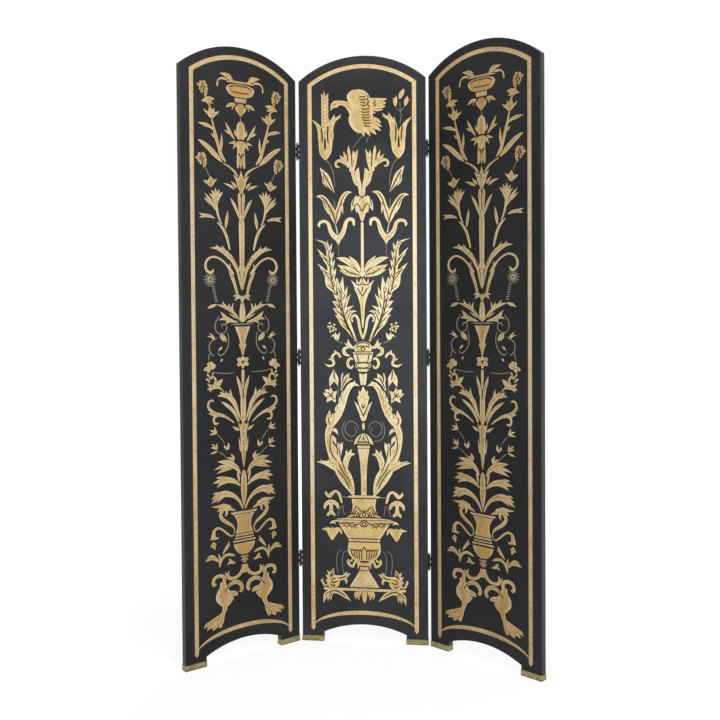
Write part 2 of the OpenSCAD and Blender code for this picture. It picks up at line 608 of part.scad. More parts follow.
scroll_shares = [
  [[33, 457, 5], [44, 486, 24], [60, 516, 34], [80, 546, 28], [98, 580, 22], [108, 614, 19],
    [111, 646, 18], [104, 674, 16], [88, 692, 14], [66, 708, 0]],
  [[97, 676, 10], [82, 700, 15], [69, 728, 16], [60, 756, 15], [50, 784, 14], [34, 803, 12],
    [12, 798, 0]],
  [[36, 800, 8], [30, 808, 6], [24, 813, 0]],
  [[72, 728, 6], [78, 736, 7], [74, 750, 0]],
  [[84, 701, 6], [90, 706, 6], [84, 720, 0]],
  [[104, 668, 10], [112, 690, 12], [108, 708, 9], [106, 723, 0]],
  [[106, 691.5, 6], [98, 698, 6], [95, 704, 0]],
  [[80, 534, 10], [98, 545, 13], [118, 556, 12], [148, 560, 0]],
  [[100, 548, 8], [108, 558, 7], [113, 568, 0]],
  [[118, 556, 7], [128, 562, 5], [138, 566, 0]],
  [[58, 534, 12], [56, 562, 16], [46, 582, 14], [26, 585, 0]],
  [[48, 580, 8], [42, 592, 7], [38, 601, 0]],
  [[52, 576, 8], [54, 590, 6], [52, 598, 0]],
  [[78, 556, 10], [76, 586, 10], [72, 608, 12], [66, 622, 0]],
  [[76, 596, 6], [80, 612, 6], [78, 622, 0]]];
tendril_shares = [
  [[16, 664, 1.6], [22, 680, 2], [38, 688, 2.4], [54, 678, 2.4], [58, 660, 2.2], [48, 644, 2],
    [32, 642, 2], [22, 654, 1.8], [28, 668, 1.6]],
  [[58, 688, 1.6], [66, 668, 2], [64, 644, 2.2], [50, 628, 2.2], [32, 626, 1.6]]];
torch_shares = [
  [[0, 650, 8], [0, 638, 18], [0, 626, 30], [0, 617, 36]],
  [[6, 645, 7], [16, 636, 8], [24, 624, 7], [30, 614, 0]]];
torch_bands_shares = [
  [[611, 615.5, 38, 36]],
  [[604.5, 609.5, 40, 40]],
  [[458, 520, 13, 15], [520, 570, 15, 22], [570, 603, 22, 40]]];

krater_bands_shares = [
  [[449.5, 454, 94, 84], [454, 458, 84, 60]],
  [[432, 448, 66, 76], [418, 432, 64, 66], [408, 418, 70, 64]],
  [[394, 406.5, 84, 72]],
  [[386.5, 392.5, 116, 92]],
  [[381.5, 385, 180, 150]],
  [[374, 380, 190, 196]],
  [[324, 352, 110, 134], [352, 362, 134, 150]],
  [[316.5, 322.5, 100, 104]],
  [[291, 315, 100, 98]],
  [[231, 236.5, 22, 30]],
  [[225, 229.5, 30, 30]],
  [[222, 224, 24, 28], [172, 222, 94, 24]],
  [[160, 168, 254, 260]]];
festoon_shares = [
  [[0, 364, 6], [8, 362, 8], [18, 366, 7], [26, 372, 2]],
  [[28, 372, 2], [34, 365, 8], [44, 364, 8], [54, 371, 2]],
  [[56, 371, 2], [62, 366, 6], [72, 366, 6], [80, 371, 2]]];
gadroons = 5;
gadroon_pitch_shares = [5.4, 8, 9.2, 9.4];
first_gadroon_shares = [[2.6, 258, 3.4], [3.8, 272, 6.4], [4, 284, 6], [4, 289, 0]];
gadroon_shares = [for (i = [0:gadroons - 1]) [[for (k = [0:len(first_gadroon_shares) - 1])
  first_gadroon_shares[k] + [gadroon_pitch_shares[k] * i, 0, 0]]]];
volute_foot_shares = [
  [[50, 260, 0], [52, 250, 6], [46, 240, 6], [36, 236, 6], [32, 246, 6], [26, 254, 5], [20, 246, 5],
    [19, 230, 2]],
  [[48, 252, 5], [40, 254, 5], [38, 262, 0]],
  [[14, 254, 5], [14, 242, 6], [8, 238, 4]]];
base_leaf_shares = [
  [[0, 159, 26], [0, 144, 20], [0, 122, 0]],
  [[16, 158, 7], [20, 146, 8], [17, 131, 0]],
  [[24, 158, 5], [29, 148, 7], [27, 134, 0]]];
base_drop_shares = [
  [[104, 159, 14], [84, 157, 13], [62, 144, 10], [44, 128, 0]],
  [[102, 158, 12], [116, 152, 11], [125, 140, 10], [130, 120, 0]],
  [[106, 154, 8], [114, 142, 8], [116, 124, 0]],
  [[102, 152, 6], [107, 140, 6], [106, 128, 0]]];
ribbon_end_shares = [
  [[[70, 433, 4], [74, 448, 7], [79, 462, 7], [90, 469, 6], [101, 461, 9], [110, 453, 9], [120, 462, 6],
    [119, 468, 0]]],
  [[[82, 415, 5], [86, 428, 9], [104, 437, 10], [121, 427, 9], [125, 413, 4]], [[104, 436, 12],
    [104, 418, 9], [104, 405, 11]], [[104, 438, 8], [104, 445, 0]]],
  [[[92, 392, 5], [98, 400, 8], [110, 400, 8], [116, 391, 5]]],
  [[[90, 368, 2], [99, 373, 7], [108, 368, 2]]],
  [[[101, 317, 5], [101, 332, 20], [100, 346, 34], [100, 354, 30]], [[108, 346, 12], [120, 350, 8],
    [135, 349, 0]], [[90, 350, 10], [78, 350, 8], [71, 336, 3]], [[100, 350, 8], [102, 358, 0]],
    [[112, 350, 8], [116, 358, 0]]]];
beast_shares = [
  [[98, 170, 18], [104, 184, 26], [108, 200, 22], [104, 214, 12], [98, 226, 0]],
  [[104, 196, 16], [88, 200, 14], [68, 204, 10], [44, 211, 0]],
  [[60, 204, 6], [54, 212, 0]],
  [[68, 202, 8], [62, 192, 7], [58, 183, 3]],
  [[84, 198, 10], [86, 182, 12], [94, 171, 8]]];
tail_shares = [
  [[116, 176, 3], [126, 174, 5], [132, 184, 5], [140, 190, 0]],
  [[128, 178, 4], [134, 192, 4], [130, 196, 0]]];
reed_shares = [
  [[62, 396, 1.6], [66, 412, 1.8], [64, 426, 1.2]],
  [[84, 392, 1.6], [78, 410, 1.8], [68, 426, 1.2]],
  [[66, 212, 1.6], [70, 250, 1.8], [66, 276, 1.6], [58, 284, 1.2]],
  [[84, 212, 1.6], [88, 250, 1.8], [84, 276, 1.6], [70, 286, 1.2]]];

// Ornament of the side panels
bowl_bands_shares = [
  [[1721, 1726, 84, 92]],
  [[1716.5, 1719.5, 76, 84]],
  [[1696, 1708, 96, 98], [1708, 1715, 98, 84]],
  [[1691, 1694.5, 90, 94]],
  [[1679, 1689.5, 66, 88]],
  [[1669, 1677, 34, 44], [1661.5, 1669, 36, 34]]];
bowl_wing_shares = [
  [[24, 1727, 3], [36, 1732, 9], [50, 1741, 10], [70, 1743, 0]],
  [[30, 1736, 4], [42, 1742, 8], [54, 1746, 0]],
  [[44, 1727, 3], [56, 1729, 7], [70, 1727, 4], [77, 1717, 4], [78, 1706, 5], [76, 1703, 0]]];
bulb_shares = [
  [[0, 1660, 30], [0, 1652, 44], [0, 1638, 30], [0, 1628, 12], [0, 1617, 0]]];
bulb_leaf_shares = [
  [[17, 1656, 4], [28, 1657, 8], [40, 1652, 8], [50, 1645, 0]],
  [[21, 1652, 4], [27, 1646, 6], [28, 1639, 0]]];
acorn_shares = [
  [[0, 1608, 6], [0, 1598, 22], [0, 1582, 27], [0, 1566, 27], [0, 1554, 18]],
  [[0, 1619, 2], [0, 1606, 2]]];
acorn_leaf_shares = [
  [[[15, 1562, 3], [19, 1572, 6], [20, 1584, 0]]],
  [[[22, 1553, 3], [34, 1569, 8], [44, 1586, 7], [52, 1602, 0]], [[36, 1568, 7], [46, 1573, 6],
    [56, 1577, 0]]]];
cap_shares = [
  [[0, 1549, 26], [0, 1536, 28], [0, 1522, 20], [0, 1506, 0]],
  [[8, 1546, 8], [24, 1543, 8], [42, 1539, 0]],
  [[10, 1542, 8], [20, 1534, 7], [27, 1522, 0]],
  [[10, 1524, 5], [9, 1500, 9], [10, 1482, 8], [11, 1468, 5]]];
cap_pip_shares = [
  [[[0, 1494, 0], [0, 1480, 4], [0, 1466, 0]]]];
stalk_shares = [
  [[97, 1606, 4], [93, 1588, 5], [88, 1568, 8], [82, 1548, 9], [75, 1524, 8], [66, 1500, 10],
    [52, 1483, 3]],
  [[91, 1574, 3], [104, 1582, 8], [122, 1587, 9], [144, 1590, 0]],
  [[84, 1552, 5], [93, 1556, 6], [100, 1564, 0]],
  [[70, 1512, 5], [66, 1536, 8], [65, 1566, 0]]];
lance_shares = [
  [[64, 1481, 3], [86, 1500, 13], [110, 1521, 13], [130, 1534, 9], [144, 1541, 0]],
  [[60, 1478, 3], [40, 1469, 4], [22, 1456, 6], [12, 1442, 4]]];
star_flower_shares = [
  [[98, 1607, 6], [98, 1616, 24], [98, 1624, 30], [98, 1629, 14], [98, 1637, 0]],
  [[88, 1620, 8], [80, 1624, 6], [72, 1631, 0]],
  [[108, 1620, 8], [116, 1624, 6], [124, 1632, 0]],
  [[99, 1632, 4], [103, 1640, 5], [108, 1650, 3]]];
bell_flower_shares = [
  [[119, 1668, 4], [110, 1662, 12], [98, 1664, 9], [86, 1664, 0]],
  [[112, 1662, 10], [122, 1656, 8], [131, 1655, 0]],
  [[108, 1662, 8], [102, 1654, 8], [92, 1651, 0]],
  [[114, 1660, 8], [112, 1652, 6], [106, 1648, 0]]];
cone_shares = [
  [[117, 1668, 4], [119, 1680, 16], [124, 1692, 24], [129, 1704, 20], [132, 1713, 0]],
  [[120, 1700, 6], [118, 1710, 4], [118, 1715, 0]],
  [[134, 1696, 6], [142, 1702, 4], [144, 1698, 0]]];
low_cone_shares = [
  [[122, 1463, 4], [124, 1472, 16], [130, 1484, 25], [136, 1496, 20], [138, 1503, 0]],
  [[124, 1492, 6], [122, 1500, 4], [124, 1504, 0]],
  [[141, 1484, 6], [149, 1488, 4], [148, 1482, 0]]];
cone_stem_shares = [
  [[120, 1462, 2], [114, 1450, 2], [108, 1438, 2]]];
cup_flower_shares = [
  [[103, 1406, 4], [103, 1414, 18], [102, 1424, 18], [104, 1438, 0]],
  [[98, 1416, 8], [90, 1424, 6], [80, 1432, 0]],
  [[109, 1414, 8], [118, 1420, 8], [126, 1422, 0]]];
pink_shares = [
  [[85, 1352, 6], [86, 1366, 16], [86, 1376, 26], [88, 1384, 22]],
  [[78, 1376, 8], [70, 1386, 7], [62, 1394, 0]],
  [[82, 1378, 7], [78, 1391, 6], [74, 1402, 0]],
  [[87, 1380, 7], [87, 1392, 7], [88, 1405, 0]],
  [[92, 1378, 7], [96, 1389, 6], [100, 1398, 0]],
  [[95, 1375, 7], [102, 1382, 5], [108, 1387, 0]],
  [[85, 1354, 7], [82, 1334, 7], [76, 1314, 5], [68, 1298, 3]]];
pink_leaf_shares = [
  [[[86, 1338, 3], [96, 1354, 8], [108, 1370, 8], [123, 1387, 0]], [[100, 1354, 6], [112, 1364, 7],
    [126, 1374, 0]]],
  [[[91, 1315, 3], [108, 1320, 8], [126, 1322, 8], [144, 1328, 0]], [[122, 1318, 4], [132, 1317, 5],
    [142, 1315, 0]]],
  [[[55, 1286, 3], [52, 1304, 9], [49, 1322, 7], [46, 1340, 0]]],
  [[[82, 1303, 3], [66, 1288, 7], [54, 1268, 8], [47, 1246, 7], [41, 1223, 4]]]];
knop_shares = [
  [[0, 1392, 6], [0, 1402, 12], [0, 1416, 27], [0, 1430, 28], [0, 1442, 12], [0, 1462, 0]],
  [[9, 1424, 10], [18, 1438, 7], [27, 1447, 0]]];
knop_leaf_shares = [
  [[[17, 1408, 3], [24, 1417, 8], [34, 1428, 0]]],
  [[[24, 1404, 3], [38, 1413, 7], [60, 1420, 0]]]];
stem_shares = [
  [[7, 1394, 4], [7, 1380, 9], [6, 1358, 8], [5, 1332, 6]],
  [[6, 1318, 6], [16, 1340, 8], [27, 1362, 8], [38, 1378, 0]],
  [[0, 1334, 4], [0, 1316, 14], [0, 1296, 18], [0, 1250, 17], [0, 1210, 15], [0, 1180, 14], [0, 1150, 10],
    [0, 1104, 5]],
  [[6, 1176, 4], [14, 1160, 6], [30, 1188, 10], [40, 1198, 8]]];
spray_shares = [
  [[10, 1144, 4], [20, 1172, 11], [36, 1196, 14], [56, 1214, 14], [82, 1226, 9], [108, 1227, 0]],
  [[36, 1196, 8], [44, 1208, 7], [48, 1220, 0]],
  [[54, 1214, 8], [62, 1224, 7], [68, 1236, 0]],
  [[70, 1220, 8], [80, 1228, 7], [88, 1238, 0]]];
curl_shares = [
  [[28, 1150, 4], [42, 1166, 8], [54, 1180, 5], [72, 1194, 5], [94, 1201, 5], [114, 1194, 6],
    [123, 1176, 7], [118, 1160, 7], [106, 1154, 7], [98, 1160, 6], [97, 1166, 0]],
  [[42, 1162, 5], [42, 1172, 5], [40, 1184, 0]]];
leg_shares = [
  [[46, 1160, 0], [36, 1146, 9], [28, 1128, 9], [22, 1110, 8], [17, 1091, 7]],
  [[16, 1158, 4], [10, 1140, 6], [5, 1118, 4], [2, 1104, 3]]];
crown_shares = [
  [[0, 1066, 6], [0, 1078, 14], [0, 1086, 40]],
  [[8, 1084, 8], [18, 1080, 8], [26, 1071, 0]],
  [[10, 1087, 6], [22, 1087, 5], [31, 1084, 0]]];
beads = 7;
bead_step_shares = [1.6, 7, 0];
first_bead_shares = [[82, 1070, 3.6], [88, 1071.5, 5], [94, 1070, 3.6]];
bead_shares = [for (i = [0:beads - 1]) [for (b = first_bead_shares) b + bead_step_shares * i]];
petals = 14;
daisy_shares = [108, 1134, 0];
petal_reach_shares = [[5, 3], [14, 5.6], [22, 1.6]];
petal_shares = [for (i = [0:petals - 1]) let(a = 360 * i / petals)
  [for (r = petal_reach_shares) daisy_shares + [r[0] * cos(a), r[0] * sin(a), r[1]]]];
daisy_eye_shares = [
  [[101, 1134, 8], [105, 1134, 13], [111, 1134, 13], [115, 1134, 8]]];
daisy_leaf_shares = [
  [[86, 1061, 2], [98, 1057, 8], [108, 1054, 7], [118, 1048, 0]]];
shaft_shares = [
  [[0, 1064, 8], [0, 1050, 15], [0, 1030, 19], [0, 1016, 15], [0, 1007, 9]]];
oak_leaf_shares = [
  [[[6, 1010, 3], [20, 1026, 6], [38, 1042, 9], [60, 1054, 9], [88, 1060, 0]], [[34, 1036, 6],
    [35, 1050, 6], [30, 1066, 0]], [[38, 1042, 6], [44, 1052, 6], [46, 1064, 0]], [[54, 1050, 6],
    [62, 1060, 6], [68, 1070, 0]]],
  [[[16, 1007, 3], [38, 1012, 9], [56, 1020, 11], [66, 1030, 7], [74, 1040, 0]], [[56, 1016, 6],
    [68, 1018, 6], [80, 1014, 0]], [[44, 1011, 6], [52, 1008, 6], [58, 1004, 0]]],
  [[[20, 1018, 2], [32, 1026, 4], [46, 1034, 0]]]];
vine_shares = [
  [[[78, 1026, 2], [90, 1010, 3], [93, 992, 3], [86, 978, 2.6], [72, 974, 2.4], [56, 984, 2.6],
    [55, 998, 3], [66, 1002, 3], [72, 994, 2]]],
  [[[86, 962, 1.8], [100, 956, 2.4], [112, 944, 3], [112, 926, 3], [104, 914, 3], [96, 910, 2]],
    [[110, 920, 2], [114, 908, 3], [116, 896, 2]]],
  [[[52, 978, 1.6], [48, 960, 2.4], [50, 936, 3], [62, 918, 3], [76, 910, 3], [86, 918, 2]]],
  [[[56, 950, 3], [64, 964, 9], [80, 976, 0]], [[62, 953, 6], [74, 964, 6], [72, 978, 0]]],
  [[[94, 956, 2], [100, 966, 6], [112, 978, 0]], [[98, 960, 4], [108, 966, 4], [120, 968, 0]]],
  [[[70, 934, 3], [76, 930, 6], [84, 922, 0]]],
  [[[70, 900, 3], [72, 896, 5], [76, 890, 0]]]];
funnel_shares = [
  [[0, 907, 4], [0, 926, 12], [0, 944, 15], [0, 964, 26], [0, 984, 42], [0, 994, 50]],
  [[5, 928, 4], [9, 936, 5], [12, 944, 0]]];
funnel_line_shares = [
  [[[0, 1001, 3], [24, 1001, 3], [42, 1001, 0]]]];
quatrefoil_shares = [
  [[0, 898, 8], [0, 904, 9], [0, 908, 4]],
  [[0, 876, 8], [0, 868, 9], [0, 862, 0]],
  [[3, 888, 6], [12, 893, 15], [22, 892, 12], [26, 888, 3]],
  [[0, 886, 12], [4, 874, 8], [12, 870, 3]]];
vine_flower_shares = [
  [[[107, 872, 8], [100, 880, 14], [96, 886, 5]], [[110, 876, 10], [114, 886, 12], [116, 892, 3]],
    [[112, 874, 10], [124, 872, 10], [132, 868, 2]], [[108, 876, 10], [106, 888, 10], [104, 893, 3]],
    [[110, 874, 8], [116, 866, 9], [118, 860, 2]]],
  [[[100, 862, 1.6], [80, 858, 2], [56, 856, 2], [30, 857, 1.6]]],
  [[[96, 828, 2], [94, 840, 5], [102, 848, 6], [112, 842, 5]], [[104, 852, 3], [102, 858, 5],
    [98, 862, 0]]],
  [[[112, 832, 2], [120, 842, 6], [126, 840, 0]], [[112, 848, 4], [118, 854, 5], [122, 858, 0]]],
  [[[66, 802, 2], [76, 812, 4], [88, 818, 10], [104, 818, 12], [122, 810, 0]], [[90, 818, 10],
    [80, 830, 12], [68, 840, 0]], [[94, 820, 8], [94, 830, 8], [88, 842, 0]], [[104, 820, 8],
    [114, 824, 6], [120, 830, 0]], [[102, 816, 8], [110, 810, 6], [112, 803, 0]]]];
fork_shares = [
  [[0, 864, 8], [0, 848, 9], [0, 828, 7], [0, 806, 4]],
  [[22, 848, 0], [16, 830, 8], [9, 808, 9], [5, 786, 10]],
  [[0, 800, 4], [0, 784, 16], [0, 750, 17], [0, 720, 14], [0, 704, 8]]];
bough_shares = [
  [[[8, 714, 4], [20, 740, 8], [32, 768, 13], [52, 788, 14], [70, 792, 10], [88, 790, 0]], [[38, 778, 8],
    [43, 792, 8], [44, 810, 0]], [[50, 788, 8], [56, 796, 6], [60, 804, 0]], [[64, 792, 7], [72, 798, 6],
    [80, 802, 0]]],
  [[[16, 708, 4], [26, 730, 8], [42, 750, 9], [60, 764, 8], [76, 774, 0]]],
  [[[32, 707, 3], [52, 722, 5], [74, 733, 8], [96, 737, 12], [106, 740, 8], [118, 741, 0]],
    [[92, 738, 8], [108, 748, 8], [118, 760, 7], [116, 774, 6], [106, 779, 5], [99, 775, 3]],
    [[84, 734, 6], [98, 728, 7], [100, 716, 6], [94, 709, 6], [84, 711, 3]]],
  [[[14, 684, 4], [24, 688, 8], [38, 697, 0]], [[10, 690, 5], [14, 698, 5], [16, 706, 0]]]];
spindle_shares = [
  [[0, 703, 10], [0, 692, 24], [0, 676, 20], [0, 650, 18], [0, 620, 14], [0, 590, 8], [0, 568, 0]],
  [[10, 618, 4], [13, 640, 5], [16, 662, 0]]];
twig_shares = [
  [[[40, 588, 2], [36, 602, 9], [44, 616, 0]], [[38, 596, 6], [48, 602, 6], [56, 606, 0]],
    [[42, 592, 1.4], [28, 572, 1.4]]],
  [[[54, 600, 1.6], [68, 614, 2], [84, 626, 1.6]]],
  [[[56, 628, 3], [52, 638, 8], [52, 650, 0]], [[57, 630, 4], [64, 638, 6], [66, 644, 0]]],
  [[[64, 648, 1.6], [74, 662, 2], [88, 676, 1.6]]],
  [[[90, 682, 3], [96, 690, 6], [98, 702, 0]], [[94, 682, 3], [104, 688, 5], [114, 692, 0]],
    [[92, 680, 3], [104, 680, 5], [116, 678, 0]]],
  [[[90, 632, 3], [100, 638, 5], [112, 640, 0]], [[88, 636, 3], [92, 644, 5], [90, 652, 0]],
    [[94, 636, 3], [102, 646, 5], [108, 650, 0]], [[90, 628, 3], [102, 624, 5], [114, 622, 0]]]];
plume_shares = [
  [[[12, 552, 3], [26, 572, 12], [50, 588, 15], [72, 594, 9], [90, 596, 0]], [[46, 578, 10], [76, 580, 9],
    [102, 573, 0]], [[40, 574, 8], [68, 570, 9], [94, 561, 0]]],
  [[[12, 516, 3], [34, 532, 12], [62, 540, 16], [86, 538, 10], [106, 534, 0]], [[60, 542, 10],
    [80, 548, 8], [96, 549, 0]], [[56, 534, 8], [78, 530, 8], [92, 520, 0]]],
  [[[4, 446, 4], [16, 470, 7], [36, 489, 11], [62, 498, 17], [88, 496, 14], [110, 488, 0]],
    [[80, 500, 8], [96, 504, 6], [106, 502, 0]], [[82, 492, 9], [98, 484, 8], [112, 475, 0]],
    [[70, 490, 6], [84, 484, 6], [92, 475, 0]]],
  [[[16, 528, 2], [19, 546, 7], [24, 566, 0]]]];
pillar_shares = [
  [[0, 562, 6], [0, 546, 15], [0, 520, 18], [0, 496, 18], [0, 470, 10], [0, 450, 0]]];
amphora_bands_shares = [
  [[432.5, 439, 80, 92]],
  [[424, 430.5, 60, 70], [410, 424, 46, 60], [395, 410, 42, 46], [380, 395, 46, 42], [373, 380, 54, 46]],
  [[366, 371, 66, 60]],
  [[359, 363.5, 76, 72]],
  [[351, 356.5, 80, 78]],
  [[344.5, 348.5, 78, 80]],
  [[334, 342, 68, 74], [324, 334, 56, 68], [314, 324, 38, 56], [306, 314, 14, 38]],
  [[299, 303.5, 26, 26]],
  [[294, 297.5, 12, 12]],
  [[288, 292.5, 20, 18]],
  [[282, 286.5, 12, 12]],
  [[258, 280.5, 34, 10]]];
amphora_handle_shares = [
  [[[36, 374, 3], [34, 388, 3], [44, 402, 7], [62, 414, 9], [76, 426, 10], [81, 440, 9], [72, 450, 8]],
    [[30, 443, 3], [44, 450, 8], [60, 454, 11], [76, 456, 13], [92, 449, 0]], [[46, 458, 6], [70, 465, 9],
    [90, 463, 7], [110, 466, 0]], [[62, 448, 7], [60, 440, 7], [66, 430, 0]]],
  [[[36, 372, 2], [46, 370, 4], [60, 380, 5], [76, 394, 5], [90, 400, 6], [102, 394, 8], [105, 380, 12],
    [106, 368, 16]], [[100, 372, 6], [92, 370, 5], [86, 374, 0]]],
  [[[100, 358, 10], [106, 352, 12], [116, 348, 0]], [[105, 355, 8], [102, 344, 7], [100, 338, 0]]]];
branch_shares = [
  [[[34, 309, 3], [46, 314, 7], [62, 316, 7], [76, 308, 7], [84, 294, 7], [85, 281, 0]], [[86, 298, 4],
    [98, 310, 9], [112, 318, 12], [126, 320, 0]], [[108, 314, 8], [124, 312, 7], [134, 308, 0]],
    [[84, 304, 4], [86, 314, 6], [88, 324, 0]]],
  [[[76, 320, 2], [66, 332, 7], [58, 342, 8], [52, 356, 0]], [[60, 338, 5], [54, 342, 5], [48, 343, 0]]],
  [[[32, 288, 3], [42, 290, 7], [50, 298, 7], [54, 304, 0]], [[44, 290, 6], [54, 290, 5], [60, 284, 0]]]];
yoke_shares = [
  [[8, 262, 10], [18, 250, 9], [32, 243, 8], [48, 243, 9], [60, 252, 9], [68, 266, 0]],
  [[58, 254, 6], [56, 262, 5], [54, 268, 0]]];
claw_leg_shares = [
  [[74, 232, 10], [70, 242, 10], [74, 254, 9], [88, 258, 9], [102, 254, 9], [108, 242, 9], [104, 234, 9],
    [97, 236, 3]],
  [[66, 214, 6], [50, 226, 10], [34, 230, 11], [18, 224, 11], [10, 210, 10], [14, 200, 9], [20, 202, 0]],
  [[76, 238, 16], [74, 222, 24], [74, 204, 46], [72, 190, 50], [70, 178, 36], [68, 164, 18],
    [72, 150, 12], [78, 138, 13]],
  [[64, 202, 6], [44, 198, 14], [30, 194, 10], [26, 188, 0]],
  [[40, 186, 6], [54, 176, 14], [66, 164, 8]],
  [[72, 146, 6], [80, 130, 16], [84, 116, 14], [86, 104, 8]],
  [[78, 144, 6], [94, 132, 16], [114, 126, 12], [132, 120, 9], [139, 112, 0]],
  [[90, 128, 10], [106, 117, 10], [122, 112, 8], [130, 104, 0]],
  [[86, 124, 10], [96, 114, 10], [106, 106, 9], [110, 100, 0]]];

berry_size_share = 8;
berry_pitch_share = 9;
berry_place_shares = [96, 982];
module berries() {
  linear_extrude(height = gilding_t) for (row = [-1:1], i = [-1:1 - abs(row + 1) % 2])
    translate([(berry_place_shares[0] + (i + abs(row + 1) % 2 / 2) * berry_pitch_share) * cell[0],
      raised(berry_place_shares[1] + row * berry_pitch_share)])
      circle(d = berry_size_share * cell[0], $fn = 8);
}

module centre_ornament() {
  $raise_share = centre_raise_share;
  motif(bird_shares);
  for (s = bird_leg_shares) motif([s]);
  motif(wheat_shares);
  for (m = bud_shares) motif(m);
  paired(calyx_shares);
  paired(palmette_shares);
  centred(tube_shares);
  centred(lotus_shares);
  for (m = mast_shares) centred(m);
  paired(side_leaf_shares);
  paired(wire_shares);
  paired(vee_shares);
  paired(volute_shares);
  paired(drop_wire_shares);
  paired(mid_leaf_shares);
  centred(thistle_shares);
  paired(hook_shares);
  paired(low_frond_shares);
  paired(high_frond_shares);
  for (m = [0, 1]) mirror([m, 0]) berries();
  paired(berry_calyx_shares);
  bands(urn_bands_shares);
  paired(urn_scroll_shares);
  paired(urn_leaf_shares);
  for (m = ribbon_shares) paired(m);
  for (m = ivy_shares) paired(m);
  centred(spear_shares);
  for (m = drop_shares) centred(m);
  paired(scroll_shares);
  for (s = tendril_shares) paired([s]);
  centred(torch_shares);
  bands(torch_bands_shares);
  bands(krater_bands_shares);
  for (s = festoon_shares) paired([s]);
  for (m = gadroon_shares) paired(m);
  paired(volute_foot_shares);
  centred(base_leaf_shares);
  paired(base_drop_shares);
  for (m = ribbon_end_shares) paired(m);
  paired(beast_shares);
  paired(tail_shares);
  for (s = reed_shares) paired([s]);
}

module side_ornament() {
  $raise_share = side_raise_share;
  bands(bowl_bands_shares);
  paired(bowl_wing_shares);
  centred(bulb_shares);
  paired(bulb_leaf_shares);
  centred(acorn_shares);
  for (m = acorn_leaf_shares) paired(m);
  centred(cap_shares);
  for (m = cap_pip_shares) centred(m);
  paired(stalk_shares);
  paired(lance_shares);
  paired(star_flower_shares);
  paired(bell_flower_shares);
  paired(cone_shares);
  paired(low_cone_shares);
  paired(cone_stem_shares);
  paired(cup_flower_shares);
  paired(pink_shares);
  for (m = pink_leaf_shares) paired(m);
  centred(knop_shares);
  for (m = knop_leaf_shares) paired(m);
  centred(stem_shares);
  paired(spray_shares);
  paired(curl_shares);
  paired(leg_shares);
  centred(crown_shares);
  for (s = bead_shares) paired([s]);
  for (s = petal_shares) paired([s]);
  paired(daisy_eye_shares);
  paired(daisy_leaf_shares);
  centred(shaft_shares);
  for (m = oak_leaf_shares) paired(m);
  for (m = vine_shares) paired(m);
  centred(funnel_shares);
  for (m = funnel_line_shares) centred(m);
  centred(quatrefoil_shares);
  for (m = vine_flower_shares) paired(m);
  centred(fork_shares);
  for (m = bough_shares) paired(m);
  centred(spindle_shares);
  for (m = twig_shares) paired(m);
  for (m = plume_shares) paired(m);
  centred(pillar_shares);
  bands(amphora_bands_shares);
  for (m = amphora_handle_shares) paired(m);
  for (m = branch_shares) paired(m);
  centred(yoke_shares);
  paired(claw_leg_shares);
}

module ornament(side) {
  color(gold) on_panel(side) rotate([90, 0, 0]) {
    if (side == 0) centre_ornament();
    else side_ornament();
  }
}

stile(-1, -1);  // left_panel_left_stile
stile(-1, 1);  // left_panel_right_stile
top_rail(-1);  // left_panel_top_rail
bottom_rail(-1);  // left_panel_bottom_rail
core_board(-1);  // left_panel_core_board
front_board(-1);  // left_panel_front_board
back_board(-1);  // left_panel_back_board
gold_border(-1);  // left_panel_gold_border
ornament(-1);  // left_panel_gold_ornament
shoe(-1, -1);  // left_panel_left_shoe
shoe(-1, 1);  // left_panel_right_shoe
shoe_screw_group(-1);  // left_panel_shoe_screws
hinge_screw_group(-1);  // left_panel_hinge_screws
stile(0, -1);  // centre_panel_left_stile
stile(0, 1);  // centre_panel_right_stile
top_rail(0);  // centre_panel_top_rail
bottom_rail(0);  // centre_panel_bottom_rail
core_board(0);  // centre_panel_core_board
front_board(0);  // centre_panel_front_board
back_board(0);  // centre_panel_back_board
gold_border(0);  // centre_panel_gold_border
ornament(0);  // centre_panel_gold_ornament
shoe(0, -1);  // centre_panel_left_shoe
shoe(0, 1);  // centre_panel_right_shoe
shoe_screw_group(0);  // centre_panel_shoe_screws
hinge_screw_group(0);  // centre_panel_hinge_screws
stile(1, -1);  // right_panel_left_stile
stile(1, 1);  // right_panel_right_stile
top_rail(1);  // right_panel_top_rail
bottom_rail(1);  // right_panel_bottom_rail
core_board(1);  // right_panel_core_board
front_board(1);  // right_panel_front_board
back_board(1);  // right_panel_back_board
gold_border(1);  // right_panel_gold_border
ornament(1);  // right_panel_gold_ornament
shoe(1, -1);  // right_panel_left_shoe
shoe(1, 1);  // right_panel_right_shoe
shoe_screw_group(1);  // right_panel_shoe_screws
hinge_screw_group(1);  // right_panel_hinge_screws
hinge_leaf(-1, 1, 0);  // left_bottom_hinge_side_leaf
hinge_leaf(0, -1, 0);  // left_bottom_hinge_centre_leaf
hinge_pin(-1, 0);  // left_bottom_hinge_pin
hinge_leaf(-1, 1, 1);  // left_middle_hinge_side_leaf
hinge_leaf(0, -1, 1);  // left_middle_hinge_centre_leaf
hinge_pin(-1, 1);  // left_middle_hinge_pin
hinge_leaf(-1, 1, 2);  // left_top_hinge_side_leaf
hinge_leaf(0, -1, 2);  // left_top_hinge_centre_leaf
hinge_pin(-1, 2);  // left_top_hinge_pin
hinge_leaf(1, -1, 0);  // right_bottom_hinge_side_leaf
hinge_leaf(0, 1, 0);  // right_bottom_hinge_centre_leaf
hinge_pin(1, 0);  // right_bottom_hinge_pin
hinge_leaf(1, -1, 1);  // right_middle_hinge_side_leaf
hinge_leaf(0, 1, 1);  // right_middle_hinge_centre_leaf
hinge_pin(1, 1);  // right_middle_hinge_pin
hinge_leaf(1, -1, 2);  // right_top_hinge_side_leaf
